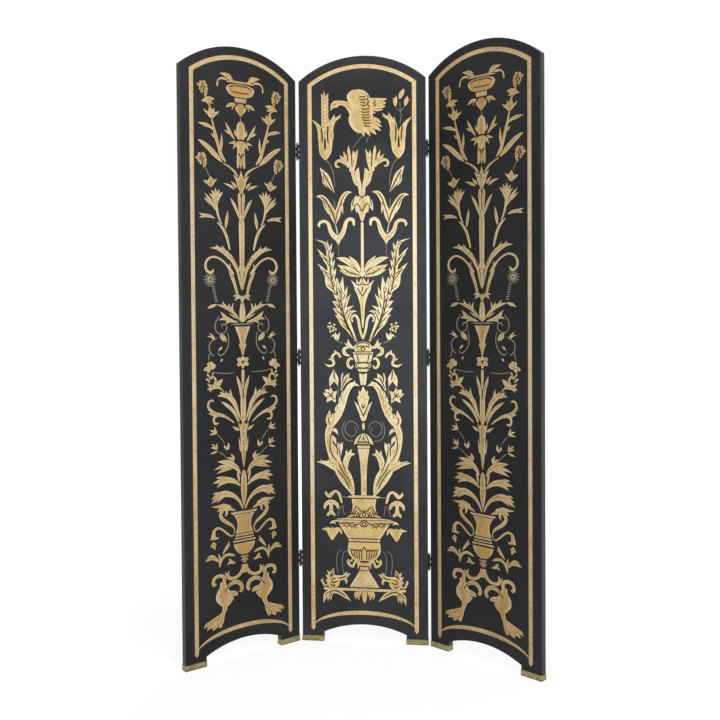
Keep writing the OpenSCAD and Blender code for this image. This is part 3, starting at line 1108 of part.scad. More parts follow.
hinge_leaf(0, 1, 2);  // right_top_hinge_centre_leaf
hinge_pin(1, 2);  // right_top_hinge_pin
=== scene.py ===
"""Folding screen of three arched black lacquer panels, with gilded ornament, brass shoes and hinges."""
import math

import bmesh
import bpy
from mathutils import Matrix, Vector


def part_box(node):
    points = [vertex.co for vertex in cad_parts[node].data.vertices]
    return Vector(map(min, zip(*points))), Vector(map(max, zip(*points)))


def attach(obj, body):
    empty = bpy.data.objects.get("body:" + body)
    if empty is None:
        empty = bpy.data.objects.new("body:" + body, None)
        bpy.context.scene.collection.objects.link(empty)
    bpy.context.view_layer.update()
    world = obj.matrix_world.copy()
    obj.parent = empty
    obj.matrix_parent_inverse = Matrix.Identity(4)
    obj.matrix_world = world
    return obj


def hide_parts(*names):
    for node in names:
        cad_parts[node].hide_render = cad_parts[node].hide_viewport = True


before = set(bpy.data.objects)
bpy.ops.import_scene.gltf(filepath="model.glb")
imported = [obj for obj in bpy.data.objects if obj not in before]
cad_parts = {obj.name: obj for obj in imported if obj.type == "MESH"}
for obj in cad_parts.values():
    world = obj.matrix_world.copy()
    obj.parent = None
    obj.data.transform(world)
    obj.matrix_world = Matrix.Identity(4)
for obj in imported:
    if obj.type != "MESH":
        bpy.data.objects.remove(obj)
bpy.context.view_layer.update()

MM = 0.001
PANELS = ("left_panel", "centre_panel", "right_panel")
SEAMS = ("left", "right")
PLACES = ("bottom", "middle", "top")

# Sizes of the screen in millimetres, as in the solids
PANEL_W = 396
SIDE_H = 1756
ARCH_RISE = 73
SEAM_GAP = 9
AXIS_AHEAD = 2
FOLDS = {"left_panel": 45.5, "right_panel": 35.6}
HALF_W = PANEL_W / 2
TOP_H = SIDE_H + ARCH_RISE
ARCH_R = (HALF_W ** 2 + ARCH_RISE ** 2) / (2 * ARCH_RISE)

# Border stripe of gold, whose sides end in tips below the arch that spans the feet
STRIPE_W = 13
STRIPE_SIDE = 28.5
STRIPE_TOP = 26
STRIPE_TIP_H = 34
STRIPE_CROWN_H = 94.5
STRIPE_SPRING_H = 42
STRIPE_T = 0.8
ARCH_STEPS = 48
# Half the width of a tip, the least width of all, and the width below which the section is squeezed
STRIPE_TIP_HALF_W = 0.2
HAIR_W = 0.01
STRIPE_FULL_W = 6
# Painted lines beside the stripe: how far they reach on its outer and inner side
OUTER_LINE_W = 3.0
INNER_LINE_W = 2.0
LINE_SLOPE_W = 0.15
LINE_T = 0.12
# Section of the stripe from its outer line to its inner one: (share of its width from its inner edge,
# millimetres outwards from there, height, ridge)
STRIPE_SECTION = (
    (1, OUTER_LINE_W, 0, -1), (1, OUTER_LINE_W - LINE_SLOPE_W, LINE_T, -1), (1, 0.1, LINE_T, -1),
    (1, -0.1, STRIPE_T * 0.8, 0.12), (1, -1.1, STRIPE_T, 0.86), (0.5, 0, STRIPE_T + 0.08, 0.86),
    (0, 1.1, STRIPE_T, 0.86), (0, 0.1, STRIPE_T * 0.8, 0.12), (0, -0.1, LINE_T, 0),
    (0, LINE_SLOPE_W - INNER_LINE_W, LINE_T, 0), (0, -INNER_LINE_W, 0, 0))

# Raised gilding: steps between two points of a stroke, its height and crest, and what each layer adds
STROKE_STEPS = 4
GOLD_T = 0.8
CROWN_T = 0.25
LAYER_T = 0.055
LAYERS = 8
# A stroke has this share of its height at a tip, and gains the whole of it over the next width
TIP_SHARE = 0.35
HEIGHT_W = 6
# Its crest rises from nothing over this width
CROWN_W = 12
# Dark outline of a stroke: its width, its least width, and its share of a narrow stroke's width
OUTLINE_W = 2.6
OUTLINE_MIN_W = 0.3
OUTLINE_SHARE = 0.2
# A lobe has no outline over the first share of its length, and the full one after the next share. It keeps
# the full one where it is no wider than the width
ROOT_SHARE = 0.12
ROOT_FADE_SHARE = 0.5
LOBE_MIN_W = 2
# Section of a stroke: the steps down at its edge, and the share of its outline where it turns to gold
EDGE_DROP = 0.02
RIM_SHARE = 0.3
# Its shoulder lies this far in, or at this share of its half width if that is less
SHOULDER_W = 1.5
SHOULDER_SHARE = 0.45
# Its crest begins at this share of its half width, with this share of its rise
CREST_SHARE = 0.35
CREST_RISE = 0.85
# Ridge across a stroke: 0 is the dark outline and 1 the crest
RIM_RIDGE = 0.05
EDGE_RIDGE = 0.45
SHOULDER_RIDGE = 0.78
CREST_RIDGE = 0.96
# Dark lines on the gold, narrower at their ends
VEIN_T = 1.5
VEIN_SLOPE_T = 0.03
VEIN_W = 3.6
LOBE_VEIN_W = 2.6
LINE_W = 3.4
LINE_END_SHARE = 0.4
LINE_FADE = 3
# A stroke nowhere wider than this is a dull thin wire, and one wider than the next counts as broad
WIRE_W = 3
SLIM_W = 7
# Tints of the gold: strokes differ from 0 to 1, and these have their own
TINT_STEP = 0.618
WIRE_TINT = -1
TURNED_TINT = 0.6
# How far the drawing is raised at mid height, as a share of the height, how much wider its strokes are
# than their tables say, and how much wider still the broad ones are, as a share
CENTRE_STYLE = (0.0045, 0.5, 0.2)
SIDE_STYLE = (0.0014, 0, 0.05)
# Berries and cone scales: (share of the radius, height, ridge) of their rings
DISC_T = 1.08
DISC_SIDES = 12
DISC_RINGS = ((1.3, 0, 0), (1.3, DISC_T - 0.1, 0), (1.02, DISC_T, 0.1), (0.86, DISC_T + 0.1, 0.85),
              (0.2, DISC_T + CROWN_T, 1), (0.08, DISC_T + CROWN_T, 1))
SPOT_SHARE = 0.3
# Turned vessels: their height at the side, which is also their rise to the middle, and their roundness
TURNED_T = 0.62
ROUNDNESS = 0.94
TURNED_OUTLINE_T = 0.6
# Steps across one: (share of its half width, ridge)
ROUND = ((-1, 0.45), (-0.96, 0.8), (-0.84, 1), (-0.6, 1), (-0.3, 1), (0, 1), (0.3, 1), (0.6, 1), (0.84, 1),
         (0.96, 0.8), (1, 0.45))
# Its end from outside in: (millimetres past the end, share of the edge inwards, share of the height, ridge)
TURNED_EDGE_W = 0.7
TURNED_EDGE_SHARE = 0.2
TURNED_END = ((0.5, 0, 0, 0), (0.5, 0, 0.7, 0), (0, 0.4, 0.9, 0.4), (0, 1, 1, 0.9))
# Points nearer than this are joined
WELD_W = 0.004

# Eased edges of the boards and shoes
BOARD_EASE = 0.7
SHOE_EASE = 0.35
EASE_WELD_W = 0.01
EASE_ANGLE = 50

# Heights between which the painted sheen on the finishes rises, and falls again, in metres
SHEEN_RISE_HEIGHTS = (0.25, 0.8)
SHEEN_FALL_HEIGHTS = (1.2, 1.68)

# Camera, as found from the corners of the panels
CAMERA_PLACE = (0.3467, -2.6837, 1.0727)
CAMERA_YAW = -7.613
CAMERA_PITCH = -1.209
CAMERA_ROLL = -0.379
CAMERA_LENS = 45.664
CAMERA_SENSOR = 36
CAMERA_SHIFT_Y = -0.0561
CAMERA_FAR = 50

# Floor: its size, the grey that takes the shadow, its white, how much of that shows under the object, and
# between which distances from there it grows to the whole, in metres
FLOOR_SIZE = 14
FLOOR_GREY = (0.88, 0.88, 0.88)
FLOOR_WHITE = 1.19
FLOOR_SHARE = 0.7
FLOOR_FADE = (0.7, 1.9)
# Light of the sky, and (name, place, aimed at, size, power) of each lamp
SKY_LIGHT = 0.4
LAMPS = (("key", (1.9, -2.8, 2.6), (0, 0, 0.9), 1.8, 74), ("sheen", (0.35, -3.4, 1.0), (0, 0, 1.0), 1.0, 4),
         ("rim", (0.6, 2.8, 2.6), (0, 0, 0.9), 2.2, 30))


class Value:
    """A node socket that takes part in arithmetic."""

    def __init__(self, paint, socket):
        self.paint = paint
        self.socket = socket

    def maths(self, operation, *values):
        return self.paint.node("ShaderNodeMath", {"operation": operation}, dict(enumerate(values)))

    def __add__(self, other):
        return self.maths("ADD", self, other)

    def __sub__(self, other):
        return self.maths("SUBTRACT", self, other)

    def __rsub__(self, other):
        return self.maths("SUBTRACT", other, self)

    def __mul__(self, other):
        return self.maths("MULTIPLY", self, other)

    def __lt__(self, other):
        return self.maths("LESS_THAN", self, other)

    def highest(self, other):
        return self.maths("MAXIMUM", self, other)


class Paint:
    """One material, or the world, and the nodes that make it."""

    def __init__(self, name, kind="materials"):
        self.material = getattr(bpy.data, kind).new(name)
        self.material.use_nodes = True
        self.tree = self.material.node_tree
        self.tree.nodes.clear()

    def node(self, kind, settings=None, values=None, out=0):
        """A new node with its settings and the values or sockets of its inputs, as one of its outputs."""
        made = self.tree.nodes.new(kind)
        for key, value in (settings or {}).items():
            if key == "stops":
                stops = made.color_ramp.elements
                while len(stops) < len(value):
                    stops.new(1)
                for stop, (place, colour) in zip(stops, value):
                    stop.position = place
                    stop.color = (*colour, 1)
            else:
                setattr(made, key, value)
        for key, value in (values or {}).items():
            if isinstance(value, Value):
                self.tree.links.new(value.socket, made.inputs[key])
            elif isinstance(value, tuple) and len(value) == 3 and made.inputs[key].type == "RGBA":
                made.inputs[key].default_value = (*value, 1)
            else:
                made.inputs[key].default_value = value
        return Value(self, made.outputs[out])

    def place(self):
        return self.node("ShaderNodeTexCoord", out="Object")

    def across(self, axis):
        """One coordinate of the place on the object."""
        return self.node("ShaderNodeSeparateXYZ", values={0: self.place()}, out=axis)

    def noise(self, scale, detail, roughness, stretch=(1, 1, 1)):
        mapped = self.node("ShaderNodeMapping", values={"Vector": self.place(), "Scale": stretch})
        return self.node("ShaderNodeTexNoise", values={
            "Vector": mapped, "Scale": scale, "Detail": detail, "Roughness": roughness})

    def ramp(self, factor, low, high):
        """Rises smoothly from 0 at low to 1 at high."""
        return self.node("ShaderNodeMapRange", {"interpolation_type": "SMOOTHSTEP"},
                         {"Value": factor, "From Min": low, "From Max": high})

    def painted_sheen_band(self):
        """Rises from 0 at the foot to 1 at mid height, and falls to 0 at the top: where the sheen is
        painted.
        """
        up = self.across("Z")
        return self.ramp(up, *SHEEN_RISE_HEIGHTS) * (1 - self.ramp(up, *SHEEN_FALL_HEIGHTS))

    def mix(self, factor, first, second):
        return self.node("ShaderNodeMix", {"data_type": "RGBA"}, {0: factor, 6: first, 7: second}, out=2)

    def colours(self, factor, *stops):
        return self.node("ShaderNodeValToRGB", {"stops": stops}, {0: factor})

    def bump(self, height, strength, distance):
        return self.node("ShaderNodeBump", values={
            "Height": height, "Strength": strength, "Distance": distance})

    def finish(self, **values):
        """The surface itself, from its inputs' names in small letters."""
        named = {key.replace("_", " ").title().replace("Ior", "IOR"): value for key, value in values.items()}
        self.node_out(self.node("ShaderNodeBsdfPrincipled", values=named))
        return self.material

    def node_out(self, shader, kind="ShaderNodeOutputMaterial"):
        made = self.tree.nodes.new(kind)
        self.tree.links.new(shader.socket, made.inputs["Surface"])


def lacquer(name, dark, pale, painted_sheen=0.0):
    """Satin black lacquer, faintly uneven, with fine dust in the sheen, and a pale painted sheen at mid
    height when asked for.
    """
    p = Paint(name)
    clouds = p.noise(3.1, 4, 0.6)
    speckle = p.noise(260, 2, 0.6)
    brushed = p.noise(34, 4, 0.7, (1, 1, 0.06))
    colour = p.mix(p.ramp(clouds + speckle * 0.14, 0.38, 0.74), dark, pale)
    dust = p.ramp(p.noise(520, 1, 0.5), 0.7, 0.82) * 0.25
    colour = p.mix(dust, colour, (0.05, 0.052, 0.053))
    # Painted sheen: a pale blue reflection painted into the colour, strongest at mid height
    if painted_sheen:
        colour = p.mix(p.painted_sheen_band() * painted_sheen, colour, (0.8, 0.9, 1))
    roughness = p.ramp(clouds * 0.5 + brushed * 0.5, 0.2, 0.8) * 0.14 + speckle * 0.08 + 0.42
    height = brushed * 0.5 + speckle * 0.35
    return p.finish(base_color=colour, roughness=roughness, normal=p.bump(height, 0.16, 0.0004),
                    specular_ior_level=0.2)


def ebonised_wood():
    """Frame timber stained black, with its grain just telling."""
    p = Paint("ebonised_wood")
    grain = p.noise(46, 5, 0.68, (1, 1, 0.035))
    streak = p.noise(190, 2, 0.6, (1, 1, 0.02))
    colour = p.mix(p.ramp(grain, 0.35, 0.7), (0.019, 0.019, 0.020), (0.042, 0.041, 0.040))
    return p.finish(base_color=colour, roughness=p.ramp(streak, 0.2, 0.8) * 0.2 + 0.42,
                    normal=p.bump(grain * 0.6 + streak * 0.4, 0.3, 0.0005), specular_ior_level=0.4)


def bare_softwood():
    """Light filling inside the panels."""
    p = Paint("bare_softwood")
    grain = p.noise(30, 5, 0.7, (1, 1, 0.03))
    pores = p.noise(400, 2, 0.6, (1, 1, 0.03))
    colour = p.colours(grain, (0.3, (0.42, 0.27, 0.14)), (0.5, (0.55, 0.38, 0.21)),
                       (0.72, (0.66, 0.48, 0.29)))
    return p.finish(base_color=colour, roughness=pores * 0.2 + 0.6,
                    normal=p.bump(grain + pores, 0.3, 0.0005))


def gold_leaf(name, umber, ochre, pale, amber, painted_sheen_colour, painted_sheen_share):
    """Aged gold leaf on raised gesso, paler at the shoulders and amber on the crests, with a brown edge band
    that is partly painted shade, and a painted sheen that makes it pale at mid height.
    The ridge attribute is -1 in the red line outside the stripe, 0 in the dark outlines and 1 on the crests,
    and the tint attribute is WIRE_TINT on thin wires."""
    p = Paint(name)
    ridge = p.node("ShaderNodeAttribute", {"attribute_name": "ridge"}, out="Fac")
    tint = p.node("ShaderNodeAttribute", {"attribute_name": "tint"}, out="Fac")
    mottle = p.noise(150, 4, 0.65)
    grain = p.noise(720, 2, 0.6)
    patches = p.noise(14, 3, 0.6)
    worn = mottle * 0.6 + patches * 0.35 + tint * 0.12 + 0.04 - p.ramp(ridge, 0.72, 0.96) * 0.24
    body = p.mix(p.ramp(worn, 0.2, 0.56), ochre, pale)
    body = p.mix(p.ramp(ridge, 0.92, 1) * 0.5, body, amber)
    # Painted sheen: the gold is painted paler at mid height, as if lit there
    body = p.mix(p.painted_sheen_band() * painted_sheen_share * p.ramp(worn, 0.16, 0.5), body, painted_sheen_colour)
    rubbed = p.ramp(grain + mottle * 0.5, 0.88, 1.04) * 0.5
    body = p.mix(rubbed, body, umber)
    wire_grey = (0.27, 0.26, 0.21)
    body = p.mix(tint < WIRE_TINT / 2, body, wire_grey)
    # Brown band at the edges of each stroke: partly its brown lining, partly painted shade of the rolled
    # edge
    shoulder = p.ramp(ridge + (mottle - 0.5) * 0.2, 0.2, 0.5)
    brown_edge_and_shade = (umber[0] * 3.4, umber[1] * 3.3, umber[2] * 2.6)
    colour = p.mix(shoulder, brown_edge_and_shade, body)
    rim = p.ramp(ridge + (grain - 0.5) * 0.1, 0.12, 0.3)
    colour = p.mix(rim, umber, colour)
    line_red = (0.085, 0.014, 0.010)
    colour = p.mix(p.ramp(ridge, -0.5, -0.2), line_red, colour)
    gilt = p.ramp(ridge, 0.2, 0.5)
    roughness = 0.6 - gilt * 0.16 + (grain - 0.5) * 0.16
    height = mottle * 0.35 + grain * 0.65
    return p.finish(base_color=colour, metallic=gilt * 0.3, roughness=roughness,
                    normal=p.bump(height, 0.35, 0.00035), specular_ior_level=0.3)


def shoe_brass():
    """Dull olive brass sheet, darker where it meets the floor."""
    p = Paint("dull_brass")
    up = p.across("Z")
    mottle = p.noise(60, 4, 0.65)
    scratches = p.noise(300, 3, 0.7, (0.06, 0.06, 1))
    colour = p.mix(p.ramp(mottle, 0.3, 0.72), (0.235, 0.195, 0.085), (0.40, 0.345, 0.17))
    # Darker and duller over the lowest few millimetres, towards the floor
    floor_darkening = (1 - p.ramp(up + mottle * 0.004, 0.001, 0.0075)) * 0.82
    colour = p.mix(floor_darkening, colour, (0.07, 0.055, 0.03))
    return p.finish(base_color=colour, metallic=0.75 - floor_darkening * 0.6,
                    roughness=p.ramp(scratches, 0.2, 0.8) * 0.2 + 0.36 + floor_darkening * 0.2,
                    normal=p.bump(scratches, 0.25, 0.0003))


def hinge_bronze():
    """Dark bronzed steel, rubbed bright on the knuckles."""
    p = Paint("hinge_bronze")
    mottle = p.noise(140, 4, 0.65)
    rub = p.ramp(p.noise(420, 3, 0.7, (1, 1, 0.2)), 0.48, 0.74)
    colour = p.mix(p.ramp(mottle, 0.3, 0.75), (0.016, 0.014, 0.013), (0.045, 0.040, 0.034))
    colour = p.mix(rub * 0.4, colour, (0.16, 0.14, 0.12))
    return p.finish(base_color=colour, metallic=0.8, roughness=0.56 - rub * 0.14,
                    normal=p.bump(mottle + rub * 0.4, 0.2, 0.0003))


# The ornament, drawn the same as in the solids, in millimetres from the panel's centreline and
# the floor. A stroke is a row of [across, up, width] and ends in a tip where the width is 0. A part of the
# vessels (URN, COLUMN, KRATER, BOWL and AMPHORA) is a row of [up, width]. A dark line on the gold, in the
# tables with LINES in their names, is a row of [across, up].
# Centre panel, from the top down
BIRD = [
  [[-18, 1650, 34], [-36, 1670, 20], [-52, 1680, 13], [-67, 1683, 12], [-80, 1680, 18], [-89, 1675, 14],
   [-94, 1667, 6], [-98, 1659, 0]],
  [[-24, 1672, 8], [-12, 1652, 44], [-8, 1630, 54], [0, 1610, 46], [12, 1598, 24], [20, 1590, 0]],
  [[-6, 1660, 36], [-10, 1682, 42], [-15, 1700, 50], [-17, 1713, 44], [-18, 1723, 18]],
  [[-2, 1716, 14], [10, 1709, 12], [20, 1700, 8], [30, 1691, 0]],
  [[2, 1700, 14], [12, 1686, 32], [16, 1666, 36], [15, 1646, 34], [16, 1628, 34], [18, 1612, 22],
   [18, 1600, 0]],
  [[22, 1690, 9], [48, 1688, 11], [66, 1688, 9], [79, 1692, 0]],
  [[22, 1681, 9], [48, 1678, 11], [66, 1677, 9], [77, 1680, 0]],
  [[22, 1672, 9], [46, 1669, 11], [64, 1667, 8], [75, 1669, 0]],
  [[22, 1663, 9], [42, 1660, 10], [56, 1658, 7], [67, 1658, 0]],
  [[24, 1652, 8], [34, 1651, 8], [44, 1646, 0]],
  [[24, 1642, 8], [32, 1640, 7], [40, 1635, 0]],
  [[20, 1628, 9], [38, 1629, 10], [50, 1625, 8], [61, 1617, 0]],
  [[20, 1619, 9], [40, 1617, 10], [52, 1612, 8], [63, 1604, 0]],
  [[18, 1610, 9], [36, 1606, 10], [50, 1600, 8], [60, 1591, 0]],
  [[14, 1604, 9], [28, 1597, 10], [38, 1589, 8], [45, 1580, 0]],
  [[6, 1601, 9], [15, 1593, 9], [22, 1585, 7], [27, 1576, 0]],
  [[-3, 1601, 8], [2, 1591, 8], [6, 1583, 6], [8, 1575, 0]],
  [[-12, 1603, 7], [-11, 1593, 6], [-14, 1584, 0]]]
BIRD_LEG = [
  [[2, 1578, 2], [-12, 1560, 1.5], [-28, 1543, 1.5]],
  [[22, 1576, 2], [18, 1566, 1.5], [14, 1555, 1.5]]]
CALYX = [
  [[114, 1506, 5], [106, 1530, 17], [102, 1558, 17], [100, 1588, 17], [97, 1614, 18], [84, 1632, 11],
   [64, 1637, 0]],
  [[114, 1506, 5], [122, 1528, 17], [126, 1556, 15], [129, 1588, 13], [136, 1612, 10], [156, 1634, 0]],
  [[114, 1514, 10], [114, 1530, 18], [114, 1546, 12]],
  [[99, 1600, 10], [101, 1618, 8], [102, 1634, 0]],
  [[94, 1616, 10], [90, 1632, 8], [84, 1648, 0]],
  [[80, 1632, 8], [72, 1638, 6], [64, 1647, 0]],
  [[96, 1606, 4], [91, 1584, 6], [92, 1560, 0]],
  [[134, 1604, 4], [134, 1578, 5], [131, 1548, 0]],
  [[108, 1566, 8], [109, 1586, 10], [107, 1606, 0]],
  [[121, 1566, 6], [121, 1590, 8], [125, 1609, 0]]]
# Ear of wheat: pairs of grains up its stem
GRAINS = 9
GRAIN_RISE = 12.5
GRAIN_PLACE = [-115, 1596]
GRAIN = [[0, 0, 3], [7, 8, 6], [11, 19, 0]]
EAR_STEM = [[-115, 1594, 5], [-115, 1660, 5], [-116, 1704, 5], [-117, 1722, 0]]
BUD = [
  [[[118, 1690, 4], [124, 1704, 12], [132, 1719, 3]]],
  [[[106, 1667, 3], [105, 1684, 11], [109, 1699, 0]], [[102, 1682, 4], [97, 1694, 0]]],
  [[[135, 1667, 3], [139, 1682, 11], [143, 1697, 0]], [[142, 1680, 4], [150, 1690, 0]]],
  [[[119, 1612, 1.6], [123, 1636, 1.6], [121, 1654, 1.6], [119, 1682, 1.2]],
   [[121, 1650, 1.6], [112, 1658, 1.4], [107, 1663, 1]],
   [[121, 1652, 1.6], [128, 1658, 1.4], [134, 1664, 1]]]]
PALMETTE = [
  [[32, 1466, 12], [24, 1498, 13], [18, 1518, 8], [12, 1537, 0]],
  [[34, 1470, 10], [29, 1505, 10], [25, 1520, 8], [27, 1533, 0]],
  [[40, 1480, 10], [41, 1505, 13], [41, 1528, 9], [41, 1549, 0]],
  [[46, 1496, 8], [51, 1512, 9], [57, 1532, 0]],
  [[48, 1494, 8], [58, 1505, 9], [69, 1519, 0]],
  [[44, 1488, 8], [60, 1499, 9], [74, 1502, 7], [82, 1493, 6], [78, 1483, 5], [70, 1483, 3]],
  [[9, 1479, 0], [14, 1466, 11], [13, 1444, 12], [8, 1428, 10], [6, 1412, 9]],
  [[31, 1482, 9], [28, 1458, 8], [21, 1434, 8], [12, 1420, 2]],
  [[28, 1478, 0], [22, 1460, 5], [22, 1444, 0]]]
TUBE = [[[0, 1421, 8], [0, 1410, 17], [0, 1396, 15], [0, 1389, 10]]]
LOTUS = [
  [[0, 1392, 11], [0, 1380, 28], [0, 1362, 37], [0, 1348, 32], [0, 1335, 18], [0, 1322, 11],
   [0, 1311, 4]],
  [[15, 1390, 6], [24, 1376, 11], [28, 1360, 11], [34, 1343, 0]],
  [[8, 1372, 8], [14, 1356, 13], [18, 1338, 0]]]
MAST = [
  [[[0, 1308, 7], [0, 1230, 7.5], [0, 1150, 7.5], [0, 1138, 4]]],
  [[[0, 838, 20], [0, 824, 19], [0, 801, 13]]]]
SIDE_LEAF = [
  [[87, 1402, 2], [98, 1422, 11], [112, 1450, 18], [124, 1470, 9], [132, 1482, 0]],
  [[120, 1456, 5], [119, 1436, 8], [109, 1419, 0]],
  [[87, 1402, 2], [88, 1380, 2], [85, 1353, 2]]]
WIRE = [[[112, 1504, 2.4], [99, 1490, 2], [89, 1458, 2], [85, 1420, 1.6]]]
VEE = [
  [[84, 1304, 3], [88, 1326, 17], [99, 1352, 15], [116, 1380, 13], [130, 1391, 10], [146, 1391, 0]],
  [[122, 1379, 5], [113, 1356, 9], [101, 1328, 0]],
  [[84, 1304, 3], [80, 1328, 17], [72, 1354, 13], [61, 1384, 13], [48, 1400, 10], [31, 1403, 0]],
  [[66, 1378, 4], [64, 1358, 8], [60, 1334, 0]]]
VOLUTE = [
  [[75, 1240, 2], [76, 1256, 14], [90, 1268, 13], [100, 1284, 11], [106, 1304, 9], [118, 1313, 8],
   [131, 1310, 8], [137, 1301, 6], [133, 1295, 3]],
  [[75, 1240, 2], [75, 1256, 14], [63, 1272, 13], [55, 1292, 11], [50, 1310, 9], [39, 1319, 9],
   [28, 1314, 9], [26, 1298, 5]],
  [[78, 1274, 4], [81, 1290, 2.4], [84, 1303, 2]]]
DROP_WIRE = [
  [[75, 1240, 2], [75, 1222, 1.6], [74, 1202, 1.4]],
  [[82, 940, 3], [74, 935, 3], [64, 931, 2.4]]]
MID_LEAF = [
  [[5, 1148, 4], [24, 1168, 12], [46, 1186, 15], [64, 1194, 11], [82, 1198, 0]],
  [[6, 1158, 3], [18, 1178, 9], [30, 1190, 9], [42, 1204, 0]],
  [[4, 1143, 6], [28, 1153, 16], [54, 1163, 16], [79, 1176, 0]],
  [[8, 1139, 5], [32, 1145, 10], [52, 1151, 10], [74, 1160, 0]]]
THISTLE = [
  [[0, 1134, 7], [0, 1118, 21], [0, 1100, 33], [0, 1085, 30], [0, 1066, 19], [0, 1046, 12],
   [0, 1010, 8], [0, 976, 3]],
  [[8, 1100, 8], [15, 1116, 8], [18, 1133, 0]],
  [[11, 1094, 8], [22, 1110, 8], [36, 1128, 0]],
  [[12, 1084, 8], [20, 1096, 7], [28, 1110, 0]]]
HOOK = [
  [[0, 944, 4], [6, 962, 6], [11, 984, 7], [14, 1004, 7], [22, 1017, 7], [32, 1015, 6], [35, 1004, 5],
   [30, 998, 3]]]
LOW_FROND = [
  [[20, 936, 4], [38, 968, 15], [54, 1004, 22], [64, 1040, 24], [68, 1070, 18], [66, 1104, 14],
   [62, 1139, 0]],
  [[44, 972, 10], [62, 990, 11], [78, 1002, 0]],
  [[52, 990, 12], [72, 1010, 12], [88, 1020, 0]],
  [[58, 1010, 12], [80, 1032, 12], [94, 1040, 0]],
  [[64, 1034, 12], [82, 1054, 12], [96, 1063, 0]],
  [[66, 1056, 12], [80, 1074, 11], [92, 1083, 0]],
  [[68, 1084, 10], [76, 1106, 10], [78, 1133, 0]],
  [[50, 1000, 10], [43, 1020, 10], [33, 1030, 7], [19, 1030, 0]],
  [[54, 1019.5, 10], [46, 1038, 9], [28, 1048, 0]],
  [[59, 1038, 10], [52, 1060, 11], [38, 1084, 0]],
  [[62, 1065.5, 10], [54, 1086, 9], [48, 1108, 0]]]
HIGH_FROND = [
  [[86, 1086, 6], [93, 1106, 16], [98, 1136, 17], [102, 1176, 15], [106, 1216, 12], [111, 1253, 0]],
  [[93, 1098, 10], [108, 1114, 13], [119, 1143, 0]],
  [[98, 1126, 10], [114, 1148, 12], [126, 1165, 7], [141, 1180, 0]],
  [[100, 1144, 8], [118, 1157, 8], [134, 1165, 0]],
  [[102, 1170, 10], [116, 1192, 11], [128, 1210, 7], [142, 1227, 0]],
  [[104, 1184, 8], [120, 1200, 8], [136, 1208, 0]],
  [[106, 1216, 8], [114, 1238, 8], [124, 1248, 5], [147, 1256, 0]],
  [[93, 1104, 8], [86, 1118, 8], [80, 1137, 0]],
  [[97, 1130, 8], [89, 1148, 8], [83, 1166, 0]],
  [[101, 1158, 8], [93, 1176, 7], [87, 1192, 0]],
  [[104, 1184, 7], [96, 1202, 7], [91, 1218, 0]],
  [[106, 1210, 6], [100, 1228, 6], [96, 1244, 0]]]
BERRY_CALYX = [
  [[84, 940, 2], [84, 950, 14], [92, 956, 6], [101, 951, 0]],
  [[82, 944, 10], [76, 956, 6], [72, 965, 0]],
  [[85, 948, 10], [86, 958, 5], [88, 966, 0]]]
URN = [
  [[842, 24], [846, 30], [851, 34]],
  [[853.5, 40], [857, 46], [862, 48], [867, 46], [870, 38]],
  [[872, 46], [884, 54], [896, 60]],
  [[898.5, 64], [903, 62]],
  [[905, 50], [914, 52], [921, 54], [925, 48], [930, 40], [934, 26], [936, 12]]]
URN_LINES = [
  [[0, 933], [12, 931], [22, 924]],
  [[0, 922], [14, 921], [24, 918]],
  [[0, 918.5], [4, 917], [5.5, 913], [4, 909], [0, 907.5]],
  [[0, 904], [26, 904]],
  [[0, 897.5], [29, 897.5]],
  [[19, 896], [14, 872]],
  [[0, 871], [15, 871]],
  [[0, 870], [14, 868.5], [23, 862]],
  [[0, 853.5], [14, 855.5], [23, 862]],
  [[0, 836], [9, 838]]]
URN_SCROLL = [[[32, 880, 4], [40, 884, 6], [48, 873, 7], [46, 859, 7], [37, 854, 6], [31, 862, 3]]]
URN_LEAF = [
  [[24, 916, 3], [36, 919, 8], [44, 926, 10], [47, 944, 0]],
  [[42, 920, 8], [50, 926, 6], [58, 932, 0]],
  [[46, 918, 5], [58, 914, 9], [60, 902, 9], [50, 894, 7], [40, 892, 0]]]
RIBBON = [
  [[[71, 886, 5], [76, 896, 6.5], [86, 903, 5.5], [90, 910, 0]],
   [[84, 902, 5.5], [94, 894, 7], [98, 884, 6], [90, 882, 0]]],
  [[[108, 882, 3], [96, 878, 6], [92, 868, 7], [98, 860, 6.5]],
   [[94, 862, 6], [108, 860, 6], [122, 867, 0]]]]
IVY = [
  [[[93, 850, 0], [92, 834, 12], [86, 818, 14], [80, 798, 0]],
   [[93, 846, 0], [95, 830, 13], [100, 814, 13], [106, 795, 0]]],
  [[[70, 784, 2], [62, 806, 11], [52, 824, 12], [44, 838, 0]],
   [[64, 806, 7], [66, 822, 8], [64, 840, 0]],
   [[60, 806, 7], [48, 816, 8], [33, 821, 0]]],
  [[[91, 754, 6], [97, 762, 22], [104, 770, 25], [112, 779, 15], [121, 787, 0]],
   [[98, 768, 10], [90, 774, 10], [83, 783, 0]],
   [[108, 767, 12], [118, 770, 9], [127, 776, 0]],
   [[102, 762, 12], [109, 755, 10], [117, 746, 0]],
   [[97, 762, 10], [92, 754, 9], [87, 745, 0]],
   [[102, 775, 10], [103, 784, 8], [102, 793, 0]]],
  [[[78, 800, 1.6], [80, 776, 1.6], [76, 752, 1.6]], [[80, 776, 1.4], [74, 782, 1.4], [70, 790, 1.4]]]]
SPEAR = [
  [[0, 689, 8], [0, 706, 20], [0, 722, 14], [0, 744, 24], [0, 764, 28], [0, 780, 14], [0, 797, 0]],
  [[6, 704, 6], [15, 728, 8], [28, 750, 0]],
  [[9, 752, 8], [15, 760, 6], [18, 768, 0]],
  [[7, 766, 8], [11, 776, 6], [14, 784, 0]]]
DROP = [[[[0, 662, 4], [0, 672, 7], [0, 683, 4]]]]
